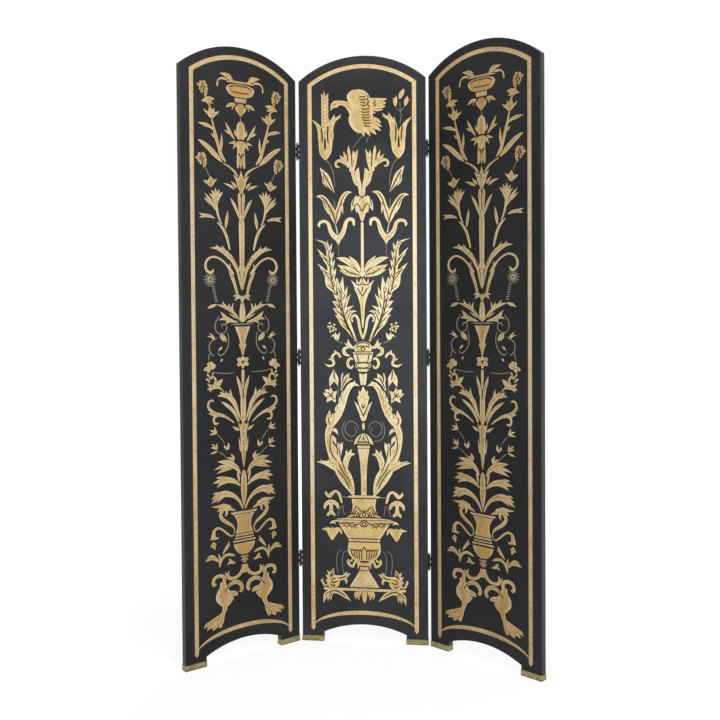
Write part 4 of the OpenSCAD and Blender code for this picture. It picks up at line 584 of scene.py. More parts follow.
SCROLL = [
  [[33, 457, 5], [44, 486, 24], [60, 516, 34], [80, 546, 28], [98, 580, 22], [108, 614, 19],
   [111, 646, 18], [104, 674, 16], [88, 692, 14], [66, 708, 0]],
  [[97, 676, 10], [82, 700, 15], [69, 728, 16], [60, 756, 15], [50, 784, 14], [34, 803, 12],
   [12, 798, 0]],
  [[36, 800, 8], [30, 808, 6], [24, 813, 0]],
  [[72, 728, 6], [78, 736, 7], [74, 750, 0]],
  [[84, 701, 6], [90, 706, 6], [84, 720, 0]],
  [[104, 668, 10], [112, 690, 12], [108, 708, 9], [106, 723, 0]],
  [[106, 691.5, 6], [98, 698, 6], [95, 704, 0]],
  [[66, 742, 8], [74, 752, 8], [70, 768, 0]],
  [[58, 760, 8], [66, 770, 8], [61, 786, 0]],
  [[78, 716, 8], [86, 724, 8], [82, 740, 0]],
  [[90, 690, 8], [99, 698, 8], [95, 713, 0]],
  [[100, 664, 9], [88, 658, 9], [80, 645, 0]],
  [[102, 640, 9], [92, 630, 9], [87, 613, 0]],
  [[100, 612, 9], [90, 600, 9], [86, 583, 0]],
  [[80, 534, 10], [98, 545, 13], [118, 556, 12], [148, 560, 0]],
  [[100, 548, 8], [108, 558, 7], [113, 568, 0]],
  [[118, 556, 7], [128, 562, 5], [138, 566, 0]],
  [[58, 534, 12], [56, 562, 16], [46, 582, 14], [26, 585, 0]],
  [[48, 580, 8], [42, 592, 7], [38, 601, 0]],
  [[52, 576, 8], [54, 590, 6], [52, 598, 0]],
  [[78, 556, 10], [76, 586, 10], [72, 608, 12], [66, 622, 0]],
  [[76, 596, 6], [80, 612, 6], [78, 622, 0]]]
TENDRIL = [
  [[16, 664, 1.6], [22, 680, 2], [38, 688, 2.4], [54, 678, 2.4], [58, 660, 2.2], [48, 644, 2],
   [32, 642, 2], [22, 654, 1.8], [28, 668, 1.6]],
  [[58, 688, 1.6], [66, 668, 2], [64, 644, 2.2], [50, 628, 2.2], [32, 626, 1.6]]]
TORCH = [
  [[0, 650, 8], [0, 638, 18], [0, 626, 30], [0, 617, 36]],
  [[6, 645, 7], [16, 636, 8], [24, 624, 7], [30, 614, 0]]]
COLUMN = [
  [[458, 15], [520, 16], [550, 19], [575, 25], [590, 31], [603, 35]],
  [[605, 36], [609, 38], [612, 36]]]
KRATER = [
  [[449.5, 96], [452, 104], [455, 90], [457, 66]],
  [[389, 104], [394, 94], [402, 80], [410, 73], [418, 70], [426, 69], [436, 72], [446, 77]],
  [[381, 178], [384, 150], [386.5, 116]],
  [[373, 160], [376, 196], [379, 186]],
  [[323, 100], [330, 108], [340, 122], [350, 134], [360, 147], [368, 156], [371.5, 158]],
  [[314, 96], [318, 99], [321, 98]],
  [[254, 52], [260, 72], [268, 86], [276, 96], [284, 102], [292, 102], [300, 100], [308, 97], [312, 94]],
  [[225, 30], [231, 22], [237, 26], [244, 30], [251, 32]],
  [[172, 92], [222, 30]],
  [[160, 254], [168, 260]]]
KRATER_LINES = [
  [[0, 412], [6, 406], [14, 414], [26, 424]],
  [[26, 424], [30, 412], [38, 402], [48, 392]],
  [[0, 407], [5, 398], [0, 386]],
  [[8, 404], [14, 396], [12, 388]],
  [[14, 408], [22, 398], [22, 388]],
  [[22, 412], [28, 402], [32, 390]],
  [[6, 390], [24, 390], [44, 389]],
  [[30, 404], [38, 396]],
  [[18, 402], [16, 392]],
  [[0, 380], [8, 376], [14, 370]],
  [[16, 370], [8, 362], [0, 359]],
  [[0, 374], [6, 368], [0, 362]],
  [[19, 371], [25, 365], [33, 369]],
  [[20, 363], [27, 367], [35, 362]],
  [[25, 353], [31, 361], [39, 359]],
  [[34, 373], [42, 367], [50, 371]],
  [[38, 355], [44, 363], [53, 360]],
  [[48, 366], [56, 371], [63, 366]],
  [[54, 356], [60, 363], [68, 360]],
  [[62, 373], [69, 367], [77, 370]],
  [[0, 323], [48, 322]],
  [[0, 313], [48, 313]],
  [[0, 297], [4, 290], [8, 283], [12, 289], [16, 283], [20, 289], [24, 283], [28, 289], [32, 284],
   [36, 290], [41, 286], [45, 291], [50, 293]],
  [[8, 282], [8, 270], [7, 257]],
  [[16, 282], [16, 270], [14, 257]],
  [[24, 282], [23, 270], [20, 259]],
  [[32, 283], [31, 272], [27, 262]],
  [[41, 285], [39, 276], [35, 268]],
  [[0, 249], [15, 252]],
  [[0, 236], [14, 238]]]
VOLUTE_FOOT = [
  [[50, 260, 0], [52, 250, 6], [46, 240, 6], [36, 236, 6], [32, 246, 6], [26, 254, 5], [20, 246, 5],
   [19, 230, 2]],
  [[48, 252, 5], [40, 254, 5], [38, 262, 0]],
  [[14, 254, 5], [14, 242, 6], [8, 238, 4]]]
BASE_LEAF = [
  [[0, 159, 26], [0, 144, 20], [0, 122, 0]],
  [[16, 158, 7], [20, 146, 8], [17, 131, 0]],
  [[24, 158, 5], [29, 148, 7], [27, 134, 0]]]
BASE_DROP = [
  [[104, 159, 14], [84, 157, 13], [62, 144, 10], [44, 128, 0]],
  [[102, 158, 12], [116, 152, 11], [125, 140, 10], [130, 120, 0]],
  [[106, 154, 8], [114, 142, 8], [116, 124, 0]],
  [[102, 152, 6], [107, 140, 6], [106, 128, 0]]]
RIBBON_END = [
  [[[70, 433, 4], [74, 448, 7], [79, 462, 7], [90, 469, 6], [101, 461, 9], [110, 453, 9], [120, 462, 6],
    [119, 468, 0]]],
  [[[82, 415, 5], [86, 428, 9], [104, 437, 10], [121, 427, 9], [125, 413, 4]],
   [[104, 436, 12], [104, 418, 9], [104, 405, 11]],
   [[104, 438, 8], [104, 445, 0]]],
  [[[92, 392, 5], [98, 400, 8], [110, 400, 8], [116, 391, 5]]],
  [[[90, 368, 2], [99, 373, 7], [108, 368, 2]]],
  [[[101, 317, 5], [101, 332, 20], [100, 346, 34], [100, 354, 30]],
   [[108, 346, 12], [120, 350, 8], [135, 349, 0]],
   [[90, 350, 10], [78, 350, 8], [71, 336, 3]],
   [[100, 350, 8], [102, 358, 0]],
   [[112, 350, 8], [116, 358, 0]]]]
BEAST = [
  [[98, 170, 18], [103, 184, 26], [105, 200, 22], [102, 214, 13], [98, 228, 0]],
  [[104, 196, 16], [88, 198, 15], [70, 200, 12], [56, 207, 9], [44, 214, 0]],
  [[66, 202, 8], [60, 212, 6], [54, 219, 0]],
  [[64, 200, 9], [58, 192, 7], [57, 182, 3]],
  [[84, 196, 10], [86, 182, 12], [94, 171, 8]],
  [[106, 210, 8], [113, 214, 6], [117, 222, 0]],
  [[110, 202, 8], [117, 203, 6], [123, 208, 0]],
  [[110, 190, 8], [117, 188, 6], [124, 191, 0]]]
TAIL = [
  [[116, 176, 3], [126, 174, 5], [132, 184, 5], [140, 190, 0]],
  [[128, 178, 4], [134, 192, 4], [130, 196, 0]]]
REED = [
  [[62, 396, 1.6], [66, 412, 1.8], [64, 426, 1.2]],
  [[84, 392, 1.6], [78, 410, 1.8], [68, 426, 1.2]],
  [[66, 212, 1.6], [70, 250, 1.8], [66, 276, 1.6], [58, 284, 1.2]],
  [[84, 212, 1.6], [88, 250, 1.8], [84, 276, 1.6], [70, 286, 1.2]],
  [[50, 452, 2.4], [60, 450.5, 2.2], [68, 453, 1.4]]]

# Side panels, from the top down
BOWL = [
  [[1680, 44], [1684, 66], [1689, 80], [1696, 90], [1704, 96], [1710, 88], [1716, 64], [1718, 44]],
  [[1721, 96], [1724, 84], [1727, 66]],
  [[1664, 34], [1677, 38]]]
BOWL_WING = [
  [[24, 1727, 3], [36, 1732, 9], [50, 1741, 10], [70, 1743, 0]],
  [[30, 1736, 4], [42, 1742, 8], [54, 1746, 0]],
  [[44, 1727, 3], [56, 1729, 7], [70, 1727, 4], [77, 1717, 4], [78, 1706, 5], [76, 1703, 0]]]
BULB = [[[0, 1660, 19], [0, 1652, 30], [0, 1645, 35], [0, 1638, 28], [0, 1630, 14], [0, 1621, 0]]]
BULB_LEAF = [
  [[17, 1656, 4], [28, 1657, 8], [40, 1652, 8], [50, 1645, 0]],
  [[21, 1652, 4], [27, 1646, 6], [28, 1639, 0]]]
ACORN = [
  [[0, 1608, 6], [0, 1598, 22], [0, 1582, 27], [0, 1566, 27], [0, 1554, 18]],
  [[0, 1619, 2], [0, 1606, 2]]]
ACORN_LEAF = [
  [[[15, 1562, 3], [19, 1572, 6], [20, 1584, 0]]],
  [[[22, 1553, 3], [34, 1569, 8], [44, 1586, 7], [52, 1602, 0]],
   [[36, 1568, 7], [46, 1573, 6], [56, 1577, 0]]]]
CAP = [
  [[0, 1549, 26], [0, 1536, 28], [0, 1522, 20], [0, 1506, 0]],
  [[8, 1546, 8], [24, 1543, 8], [42, 1539, 0]],
  [[10, 1542, 8], [20, 1534, 7], [27, 1522, 0]],
  [[10, 1524, 5], [9, 1500, 9], [10, 1482, 8], [11, 1468, 5]]]
CAP_PIP = [[[[0, 1506, 12], [0, 1490, 12], [0, 1478, 7], [0, 1466, 0]]]]
STALK = [
  [[97, 1606, 4], [93, 1588, 5], [88, 1568, 8], [82, 1548, 9], [75, 1524, 8], [66, 1500, 10],
   [52, 1483, 3]],
  [[91, 1574, 3], [104, 1582, 8], [122, 1587, 9], [144, 1590, 0]],
  [[84, 1552, 5], [93, 1556, 6], [100, 1564, 0]],
  [[70, 1512, 5], [66, 1536, 8], [65, 1566, 0]]]
LANCE = [
  [[64, 1481, 3], [86, 1500, 13], [110, 1521, 13], [130, 1534, 9], [144, 1541, 0]],
  [[60, 1478, 3], [40, 1469, 4], [22, 1456, 6], [12, 1442, 4]]]
STAR_FLOWER = [
  [[98, 1607, 6], [98, 1616, 24], [98, 1624, 30], [98, 1629, 14], [98, 1637, 0]],
  [[88, 1620, 8], [80, 1624, 6], [72, 1631, 0]],
  [[108, 1620, 8], [116, 1624, 6], [124, 1632, 0]],
  [[94, 1624, 6], [91, 1631, 5], [89, 1639, 0]],
  [[102, 1624, 6], [105, 1631, 5], [107, 1638, 0]],
  [[99, 1632, 4], [103, 1640, 5], [108, 1650, 3]]]
BELL_FLOWER = [
  [[119, 1668, 4], [110, 1662, 12], [98, 1664, 9], [86, 1664, 0]],
  [[112, 1662, 10], [122, 1656, 8], [131, 1655, 0]],
  [[108, 1662, 8], [102, 1654, 8], [92, 1651, 0]],
  [[114, 1660, 8], [112, 1652, 6], [106, 1648, 0]]]
CONE = [
  [[117, 1668, 4], [119, 1680, 16], [124, 1692, 24], [129, 1704, 20], [132, 1713, 0]],
  [[120, 1700, 6], [118, 1710, 4], [118, 1715, 0]],
  [[134, 1696, 6], [142, 1702, 4], [144, 1698, 0]]]
LOW_CONE = [
  [[122, 1463, 4], [124, 1472, 16], [130, 1484, 25], [136, 1496, 20], [138, 1503, 0]],
  [[124, 1492, 6], [122, 1500, 4], [124, 1504, 0]],
  [[141, 1484, 6], [149, 1488, 4], [148, 1482, 0]]]
CONE_STEM = [[[120, 1462, 2], [114, 1450, 2], [108, 1438, 2]]]
CUP_FLOWER = [
  [[103, 1406, 4], [103, 1414, 18], [102, 1424, 18], [104, 1438, 0]],
  [[98, 1416, 8], [90, 1424, 6], [80, 1432, 0]],
  [[109, 1414, 8], [118, 1420, 8], [126, 1422, 0]]]
PINK = [
  [[85, 1352, 6], [86, 1366, 16], [86, 1376, 26], [88, 1384, 22]],
  [[78, 1376, 8], [70, 1386, 7], [62, 1394, 0]],
  [[82, 1378, 7], [78, 1391, 6], [74, 1402, 0]],
  [[87, 1380, 7], [87, 1392, 7], [88, 1405, 0]],
  [[92, 1378, 7], [96, 1389, 6], [100, 1398, 0]],
  [[95, 1375, 7], [102, 1382, 5], [108, 1387, 0]],
  [[85, 1354, 7], [82, 1334, 7], [76, 1314, 5], [68, 1298, 3]]]
PINK_LEAF = [
  [[[86, 1338, 3], [96, 1354, 8], [108, 1370, 8], [123, 1387, 0]],
   [[100, 1354, 6], [112, 1364, 7], [126, 1374, 0]]],
  [[[91, 1315, 3], [108, 1320, 8], [126, 1322, 8], [144, 1328, 0]],
   [[122, 1318, 4], [132, 1317, 5], [142, 1315, 0]]],
  [[[55, 1286, 3], [52, 1304, 9], [49, 1322, 7], [46, 1340, 0]]],
  [[[82, 1303, 3], [66, 1288, 7], [54, 1268, 8], [47, 1246, 7], [41, 1223, 4]]]]
KNOP = [
  [[0, 1392, 6], [0, 1402, 12], [0, 1416, 27], [0, 1430, 28], [0, 1442, 12], [0, 1462, 0]],
  [[9, 1424, 10], [18, 1438, 7], [27, 1447, 0]]]
KNOP_LEAF = [
  [[[17, 1408, 3], [24, 1417, 8], [34, 1428, 0]]],
  [[[24, 1404, 3], [38, 1413, 7], [60, 1420, 0]]]]
STEM = [
  [[7, 1394, 4], [7, 1380, 9], [6, 1358, 8], [5, 1332, 6]],
  [[6, 1318, 6], [16, 1340, 8], [27, 1362, 8], [38, 1378, 0]],
  [[0, 1334, 4], [0, 1316, 14], [0, 1296, 18], [0, 1250, 17], [0, 1210, 15], [0, 1180, 14],
   [0, 1150, 10], [0, 1104, 5]],
  [[6, 1176, 4], [14, 1160, 6], [30, 1188, 10], [40, 1198, 8]]]
SPRAY = [
  [[10, 1144, 4], [20, 1172, 11], [36, 1196, 14], [56, 1214, 14], [82, 1226, 9], [108, 1227, 0]],
  [[36, 1196, 8], [44, 1208, 7], [48, 1220, 0]],
  [[54, 1214, 8], [62, 1224, 7], [68, 1236, 0]],
  [[70, 1220, 8], [80, 1228, 7], [88, 1238, 0]]]
CURL = [
  [[28, 1150, 4], [42, 1166, 8], [54, 1180, 5], [72, 1194, 5], [94, 1201, 5], [114, 1194, 6],
   [123, 1176, 7], [118, 1160, 7], [106, 1154, 7], [98, 1160, 6], [97, 1166, 0]],
  [[42, 1162, 5], [42, 1172, 5], [40, 1184, 0]]]
LEG = [
  [[46, 1160, 0], [36, 1146, 9], [28, 1128, 9], [22, 1110, 8], [17, 1091, 7]],
  [[16, 1158, 4], [10, 1140, 6], [5, 1118, 4], [2, 1104, 3]]]
CROWN = [
  [[0, 1066, 6], [0, 1078, 14], [0, 1086, 40]],
  [[8, 1084, 8], [18, 1080, 8], [26, 1071, 0]],
  [[10, 1087, 6], [22, 1087, 5], [31, 1084, 0]]]
# A string of beads, and a daisy with its petals as rows of [reach, width]
BEADS = 7
BEAD_STEP = [1.6, 7, 0]
FIRST_BEAD = [[83, 1069, 2], [88, 1071.5, 3], [93, 1070, 2]]
PETALS = 14
DAISY = [108, 1134]
PETAL_REACH = [[5, 2.6], [13, 3], [21, 1.6]]
DAISY_EYE = [[[101, 1134, 8], [105, 1134, 13], [111, 1134, 13], [115, 1134, 8]]]
DAISY_LEAF = [[[86, 1061, 2], [98, 1057, 8], [108, 1054, 7], [118, 1048, 0]]]
SHAFT = [[[0, 1064, 8], [0, 1050, 15], [0, 1030, 19], [0, 1016, 15], [0, 1007, 9]]]
OAK_LEAF = [
  [[[6, 1010, 3], [20, 1026, 6], [38, 1042, 9], [60, 1054, 9], [88, 1060, 0]],
   [[34, 1036, 6], [35, 1050, 6], [30, 1066, 0]],
   [[38, 1042, 6], [44, 1052, 6], [46, 1064, 0]],
   [[54, 1050, 6], [62, 1060, 6], [68, 1070, 0]]],
  [[[16, 1007, 3], [38, 1012, 9], [56, 1020, 11], [66, 1030, 7], [74, 1040, 0]],
   [[56, 1016, 6], [68, 1018, 6], [80, 1014, 0]],
   [[44, 1011, 6], [52, 1008, 6], [58, 1004, 0]]],
  [[[20, 1018, 2], [32, 1026, 4], [46, 1034, 0]]]]
VINE = [
  [[[78, 1026, 2], [90, 1010, 3], [93, 992, 3], [86, 978, 2.6], [72, 974, 2.4], [56, 984, 2.6],
    [55, 998, 3], [66, 1002, 3], [72, 994, 2]]],
  [[[86, 962, 1.8], [100, 956, 2.4], [112, 944, 3], [112, 926, 3], [104, 914, 3], [96, 910, 2]],
   [[110, 920, 2], [114, 908, 3], [116, 896, 2]]],
  [[[52, 978, 1.6], [48, 960, 2.4], [50, 936, 3], [62, 918, 3], [76, 910, 3], [86, 918, 2]]],
  [[[56, 950, 3], [64, 964, 9], [80, 976, 0]], [[62, 953, 6], [74, 964, 6], [72, 978, 0]]],
  [[[94, 956, 2], [100, 966, 6], [112, 978, 0]], [[98, 960, 4], [108, 966, 4], [120, 968, 0]]],
  [[[70, 934, 3], [76, 930, 6], [84, 922, 0]]],
  [[[70, 900, 3], [72, 896, 5], [76, 890, 0]]]]
FUNNEL = [
  [[0, 907, 4], [0, 926, 12], [0, 944, 15], [0, 964, 26], [0, 984, 42], [0, 994, 50]],
  [[5, 928, 4], [9, 936, 5], [12, 944, 0]]]
FUNNEL_LINE = [[[[0, 1001, 3], [24, 1001, 3], [42, 1001, 0]]]]
QUATREFOIL = [
  [[0, 892, 8], [0, 899, 10], [0, 905, 5]],
  [[0, 881, 8], [0, 874, 9], [0, 866, 0]],
  [[3, 890, 7], [9, 893, 11], [15, 895, 11], [20, 896, 3]],
  [[3, 886, 7], [9, 883, 11], [15, 881, 11], [20, 880, 3]]]
VINE_FLOWER = [
  [[[107, 872, 8], [100, 880, 14], [96, 886, 5]],
   [[110, 876, 10], [114, 886, 12], [116, 892, 3]],
   [[112, 874, 10], [124, 872, 10], [132, 868, 2]],
   [[108, 876, 10], [106, 888, 10], [104, 893, 3]],
   [[110, 874, 8], [116, 866, 9], [118, 860, 2]]],
  [[[100, 862, 1.6], [80, 858, 2], [56, 856, 2], [30, 857, 1.6]]],
  [[[96, 828, 2], [94, 840, 5], [102, 848, 6], [112, 842, 5]],
   [[104, 852, 3], [102, 858, 5], [98, 862, 0]]],
  [[[112, 832, 2], [120, 842, 6], [126, 840, 0]], [[112, 848, 4], [118, 854, 5], [122, 858, 0]]],
  [[[66, 802, 2], [76, 812, 4], [88, 818, 10], [104, 818, 12], [122, 810, 0]],
   [[90, 818, 10], [80, 830, 12], [68, 840, 0]],
   [[94, 820, 8], [94, 830, 8], [88, 842, 0]],
   [[104, 820, 8], [114, 824, 6], [120, 830, 0]],
   [[102, 816, 8], [110, 810, 6], [112, 803, 0]]]]
FORK = [
  [[0, 864, 8], [0, 848, 9], [0, 828, 7], [0, 806, 4]],
  [[22, 848, 0], [16, 830, 8], [9, 808, 9], [5, 786, 10]],
  [[0, 800, 4], [0, 784, 16], [0, 750, 17], [0, 720, 14], [0, 704, 8]]]
BOUGH = [
  [[[8, 714, 4], [20, 740, 8], [32, 768, 13], [52, 788, 14], [70, 792, 10], [88, 790, 0]],
   [[38, 778, 8], [43, 792, 8], [44, 810, 0]],
   [[50, 788, 8], [56, 796, 6], [60, 804, 0]],
   [[64, 792, 7], [72, 798, 6], [80, 802, 0]]],
  [[[16, 708, 4], [26, 730, 8], [42, 750, 9], [60, 764, 8], [76, 774, 0]]],
  [[[32, 707, 3], [52, 722, 5], [74, 733, 8], [96, 737, 12], [106, 740, 8], [118, 741, 0]],
   [[92, 738, 8], [108, 748, 8], [118, 760, 7], [116, 774, 6], [106, 779, 5], [99, 775, 3]],
   [[84, 734, 6], [98, 728, 7], [100, 716, 6], [94, 709, 6], [84, 711, 3]]],
  [[[14, 684, 4], [24, 688, 8], [38, 697, 0]], [[10, 690, 5], [14, 698, 5], [16, 706, 0]]]]
SPINDLE = [
  [[0, 703, 10], [0, 692, 24], [0, 676, 20], [0, 650, 18], [0, 620, 14], [0, 590, 8], [0, 568, 0]],
  [[10, 618, 4], [13, 640, 5], [16, 662, 0]]]
TWIG = [
  [[[40, 588, 2], [36, 602, 9], [44, 616, 0]],
   [[38, 596, 6], [48, 602, 6], [56, 606, 0]],
   [[42, 592, 1.4], [28, 572, 1.4]]],
  [[[54, 600, 1.6], [68, 614, 2], [84, 626, 1.6]]],
  [[[56, 628, 3], [52, 638, 8], [52, 650, 0]], [[57, 630, 4], [64, 638, 6], [66, 644, 0]]],
  [[[64, 648, 1.6], [74, 662, 2], [88, 676, 1.6]]],
  [[[90, 682, 3], [96, 690, 6], [98, 702, 0]],
   [[94, 682, 3], [104, 688, 5], [114, 692, 0]],
   [[92, 680, 3], [104, 680, 5], [116, 678, 0]]],
  [[[90, 632, 3], [100, 638, 5], [112, 640, 0]],
   [[88, 636, 3], [92, 644, 5], [90, 652, 0]],
   [[94, 636, 3], [102, 646, 5], [108, 650, 0]],
   [[90, 628, 3], [102, 624, 5], [114, 622, 0]]]]
PLUME = [
  [[[12, 552, 3], [26, 572, 12], [50, 588, 15], [72, 594, 9], [90, 596, 0]],
   [[46, 578, 10], [76, 580, 9], [102, 573, 0]],
   [[40, 574, 8], [68, 570, 9], [94, 561, 0]]],
  [[[12, 516, 3], [34, 532, 12], [62, 540, 16], [86, 538, 10], [106, 534, 0]],
   [[60, 542, 10], [80, 548, 8], [96, 549, 0]],
   [[56, 534, 8], [78, 530, 8], [92, 520, 0]]],
  [[[4, 446, 4], [16, 470, 7], [36, 489, 11], [62, 498, 17], [88, 496, 14], [110, 488, 0]],
   [[80, 500, 8], [96, 504, 6], [106, 502, 0]],
   [[82, 492, 9], [98, 484, 8], [112, 475, 0]],
   [[70, 490, 6], [84, 484, 6], [92, 475, 0]]],
  [[[16, 528, 2], [19, 546, 7], [24, 566, 0]]]]
PILLAR = [[[0, 562, 6], [0, 546, 15], [0, 520, 18], [0, 496, 18], [0, 470, 10], [0, 450, 0]]]
AMPHORA = [
  [[432.5, 80], [439, 92]],
  [[373.5, 57], [385, 50], [395, 44], [410, 46], [424, 60], [430.5, 70]],
  [[365, 60], [371, 60]],
  [[357, 64], [361, 64]],
  [[348, 76], [353, 76]],
  [[309, 20], [315, 40], [325, 58], [335, 68], [343, 72]],
  [[301, 26], [304, 26]],
  [[296, 16], [299, 16]],
  [[290, 22], [294, 22]],
  [[284, 12], [288, 12]],
  [[253, 30], [260, 26], [278, 16]]]
AMPHORA_HANDLE = [
  [[[36, 374, 3], [34, 388, 3], [44, 402, 7], [62, 414, 9], [76, 426, 10], [81, 440, 9], [72, 450, 8]],
   [[30, 443, 3], [44, 450, 8], [60, 454, 11], [76, 456, 13], [92, 449, 0]],
   [[46, 458, 6], [70, 465, 9], [90, 463, 7], [110, 466, 0]],
   [[62, 448, 7], [60, 440, 7], [66, 430, 0]]],
  [[[36, 372, 2], [46, 370, 4], [60, 380, 5], [76, 394, 5], [90, 400, 6], [102, 394, 8], [105, 380, 12],
    [106, 368, 16]],
   [[100, 372, 6], [92, 370, 5], [86, 374, 0]]],
  [[[100, 358, 10], [106, 352, 12], [116, 348, 0]], [[105, 355, 8], [102, 344, 7], [100, 338, 0]]]]
BRANCH = [
  [[[34, 309, 3], [46, 314, 7], [62, 316, 7], [76, 308, 7], [84, 294, 7], [85, 281, 0]],
   [[86, 298, 4], [98, 310, 9], [112, 318, 12], [126, 320, 0]],
   [[108, 314, 8], [124, 312, 7], [134, 308, 0]],
   [[84, 304, 4], [86, 314, 6], [88, 324, 0]]],
  [[[76, 320, 2], [66, 332, 7], [58, 342, 8], [52, 356, 0]], [[60, 338, 5], [54, 342, 5], [48, 343, 0]]],
  [[[32, 288, 3], [42, 290, 7], [50, 298, 7], [54, 304, 0]], [[44, 290, 6], [54, 290, 5], [60, 284, 0]]]]
YOKE = [
  [[8, 262, 10], [18, 250, 9], [32, 243, 8], [48, 243, 9], [60, 252, 9], [68, 266, 0]],
  [[58, 254, 6], [56, 262, 5], [54, 268, 0]]]
CLAW_LEG = [
  [[74, 232, 10], [70, 242, 10], [74, 254, 9], [88, 258, 9], [102, 254, 9], [108, 242, 9],
   [104, 234, 9], [97, 236, 3]],
  [[66, 214, 6], [50, 226, 10], [34, 230, 11], [18, 224, 11], [10, 210, 10], [14, 200, 9], [20, 202, 0]],
  [[76, 238, 16], [74, 222, 24], [74, 204, 46], [72, 190, 50], [70, 178, 36], [68, 164, 18],
   [72, 150, 12], [78, 138, 13]],
  [[64, 202, 6], [44, 198, 14], [30, 194, 10], [26, 188, 0]],
  [[40, 186, 6], [54, 176, 14], [66, 164, 8]],
  [[72, 146, 6], [80, 130, 16], [84, 116, 14], [86, 104, 8]],
  [[78, 144, 6], [94, 132, 16], [114, 126, 12], [132, 120, 9], [139, 112, 0]],
  [[90, 128, 10], [106, 117, 10], [122, 112, 8], [130, 104, 0]],
  [[86, 124, 10], [96, 114, 10], [106, 106, 9], [110, 100, 0]]]

# Berries, cone scales and pits as [across, up] of their middles, and dark lines of both drawings
BERRY_SIZE = 7.2
BERRIES = [
  [104, 994], [90, 989], [109, 983], [100, 984], [92, 980], [104, 977], [86, 974], [102, 968],
  [94, 971]]
BIRD_LINES = [
  [[-85, 1679], [-81, 1679]],
  [[14, 1706], [22, 1698], [17, 1691], [24, 1684], [18, 1677], [25, 1669], [20, 1661]],
  [[38, 1691], [44, 1684], [38, 1679], [44, 1673], [37, 1668]],
  [[-8, 1703], [4, 1699], [14, 1701]],
  [[-8, 1694], [4, 1690], [14, 1692]],
  [[-6, 1685], [6, 1681], [15, 1683]],
  [[-4, 1676], [7, 1672], [16, 1674]],
  [[-2, 1664], [10, 1660], [24, 1662]],
  [[-2, 1655], [10, 1651], [26, 1653]],
  [[-1, 1646], [10, 1642], [26, 1645]],
  [[0, 1637.5], [12, 1634], [26, 1636]],
  [[2, 1629], [14, 1625.5], [28, 1626]],
  [[4, 1620], [16, 1617], [30, 1617]],
  [[6, 1611.5], [18, 1608], [28, 1606]]]
HOLLOWS = [
  [[115, 1538, 7], [115, 1552, 7], [115, 1572, 7]],
  [[105, 1556, 4.5], [107, 1586, 4.5], [105, 1612, 4.5]],
  [[123, 1558, 4.5], [124, 1586, 4.5], [127, 1606, 4.5]]]
LEAF_LINES = [
  [[30, 1480], [33, 1530]],
  [[44, 1500], [46, 1530]],
  [[0, 1342], [14, 1366], [26, 1356]],
  [[0, 1384], [8, 1392]],
  [[26, 1384], [30, 1360]],
  [[8, 1143], [34, 1150], [60, 1163]],
  [[8, 1150], [30, 1168]],
  [[0, 1117], [10, 1113], [20, 1116]],
  [[0, 1078], [8, 1090], [16, 1104]],
  [[0, 1138], [0, 1126]],
  [[12, 1140], [14, 1122]],
  [[0, 1108], [0, 1092]]]
FROND_LINES = [
  [[25, 936], [50, 985], [58, 1005], [62, 1030]],
  [[78, 1075], [70, 1040], [62, 1010]],
  [[0, 972], [5, 985]]]
SCROLL_LINES = [
  [[0, 728], [6, 742]],
  [[0, 703], [6, 718], [14, 736]],
  [[64, 703], [80, 683], [98, 662]],
  [[98, 660], [103, 640], [106, 618], [104, 596], [96, 578], [84, 562]],
  [[104, 676], [110, 690], [106, 700]],
  [[78, 612], [76, 590], [70, 566], [64, 548], [56, 530]],
  [[80, 560], [72, 540], [62, 524], [50, 508], [40, 486]],
  [[86, 540], [74, 526], [60, 508], [50, 490], [46, 478]]]
IVY_LINES = [
  [[92, 846], [91, 832], [88, 816]],
  [[68, 790], [60, 808], [50, 826]],
  [[64, 810], [64, 830]],
  [[91, 754], [100, 766], [112, 778]],
  [[100, 766], [114, 765]],
  [[100, 766], [97, 778]]]
FOOT_LINES = [
  [[6, 647], [14, 631], [18, 618]],
  [[0, 640], [0, 628]],
  [[0, 622], [10, 624], [18, 619]],
  [[94, 212], [102, 206], [110, 208]],
  [[92, 178], [100, 174], [108, 178]],
  [[98, 222], [104, 210], [106, 198]],
  [[104, 190], [98, 196], [90, 196]],
  [[84, 190], [96, 184], [106, 188]],
  [[56, 206], [70, 200], [84, 198]],
  [[8, 158], [10, 146], [6, 134]]]
SIDE_LINES = [
  [[0, 1692], [30, 1694]],
  [[0, 1713], [22, 1713], [40, 1706]],
  [[8, 1659], [18, 1651], [28, 1643]],
  [[0, 1551], [12, 1549], [22, 1543]],
  [[0, 1498], [5, 1506], [9, 1514]],
  [[0, 888], [6, 889]],
  [[0, 802], [0, 776]],
  [[52, 226], [60, 218], [66, 210], [70, 205]]]
CONE_SCALE_W = 7
CONE_SCALES = [
  [122, 1710], [133, 1708], [114, 1701], [138, 1698], [112, 1691], [135, 1688], [117, 1682],
  [129, 1680], [118, 1672]]
CONE_PIT_W = 8
CONE_PITS = [[126, 1702], [121, 1695], [130, 1694], [124, 1687], [123, 1677]]
LOW_CONE_SHIFT = [6, -208]
DAISY_PIT_W = 9


def panel_place(panel):
    """Where a panel's own drawing goes, which has its centreline at x = 0 and the board's face at y = 0."""
    low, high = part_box("centre_panel_front_board")
    centre = Matrix.Translation(((low.x + high.x) / 2, low.y, 0))
    if panel == "centre_panel":
        return centre
    side = -1 if panel == "left_panel" else 1
    hinge = side * (HALF_W + SEAM_GAP / 2) * MM
    return (centre @ Matrix.Translation((hinge, -AXIS_AHEAD * MM, 0))
            @ Matrix.Rotation(math.radians(-side * FOLDS[panel]), 4, "Z")
            @ Matrix.Translation((hinge, AXIS_AHEAD * MM, 0)))


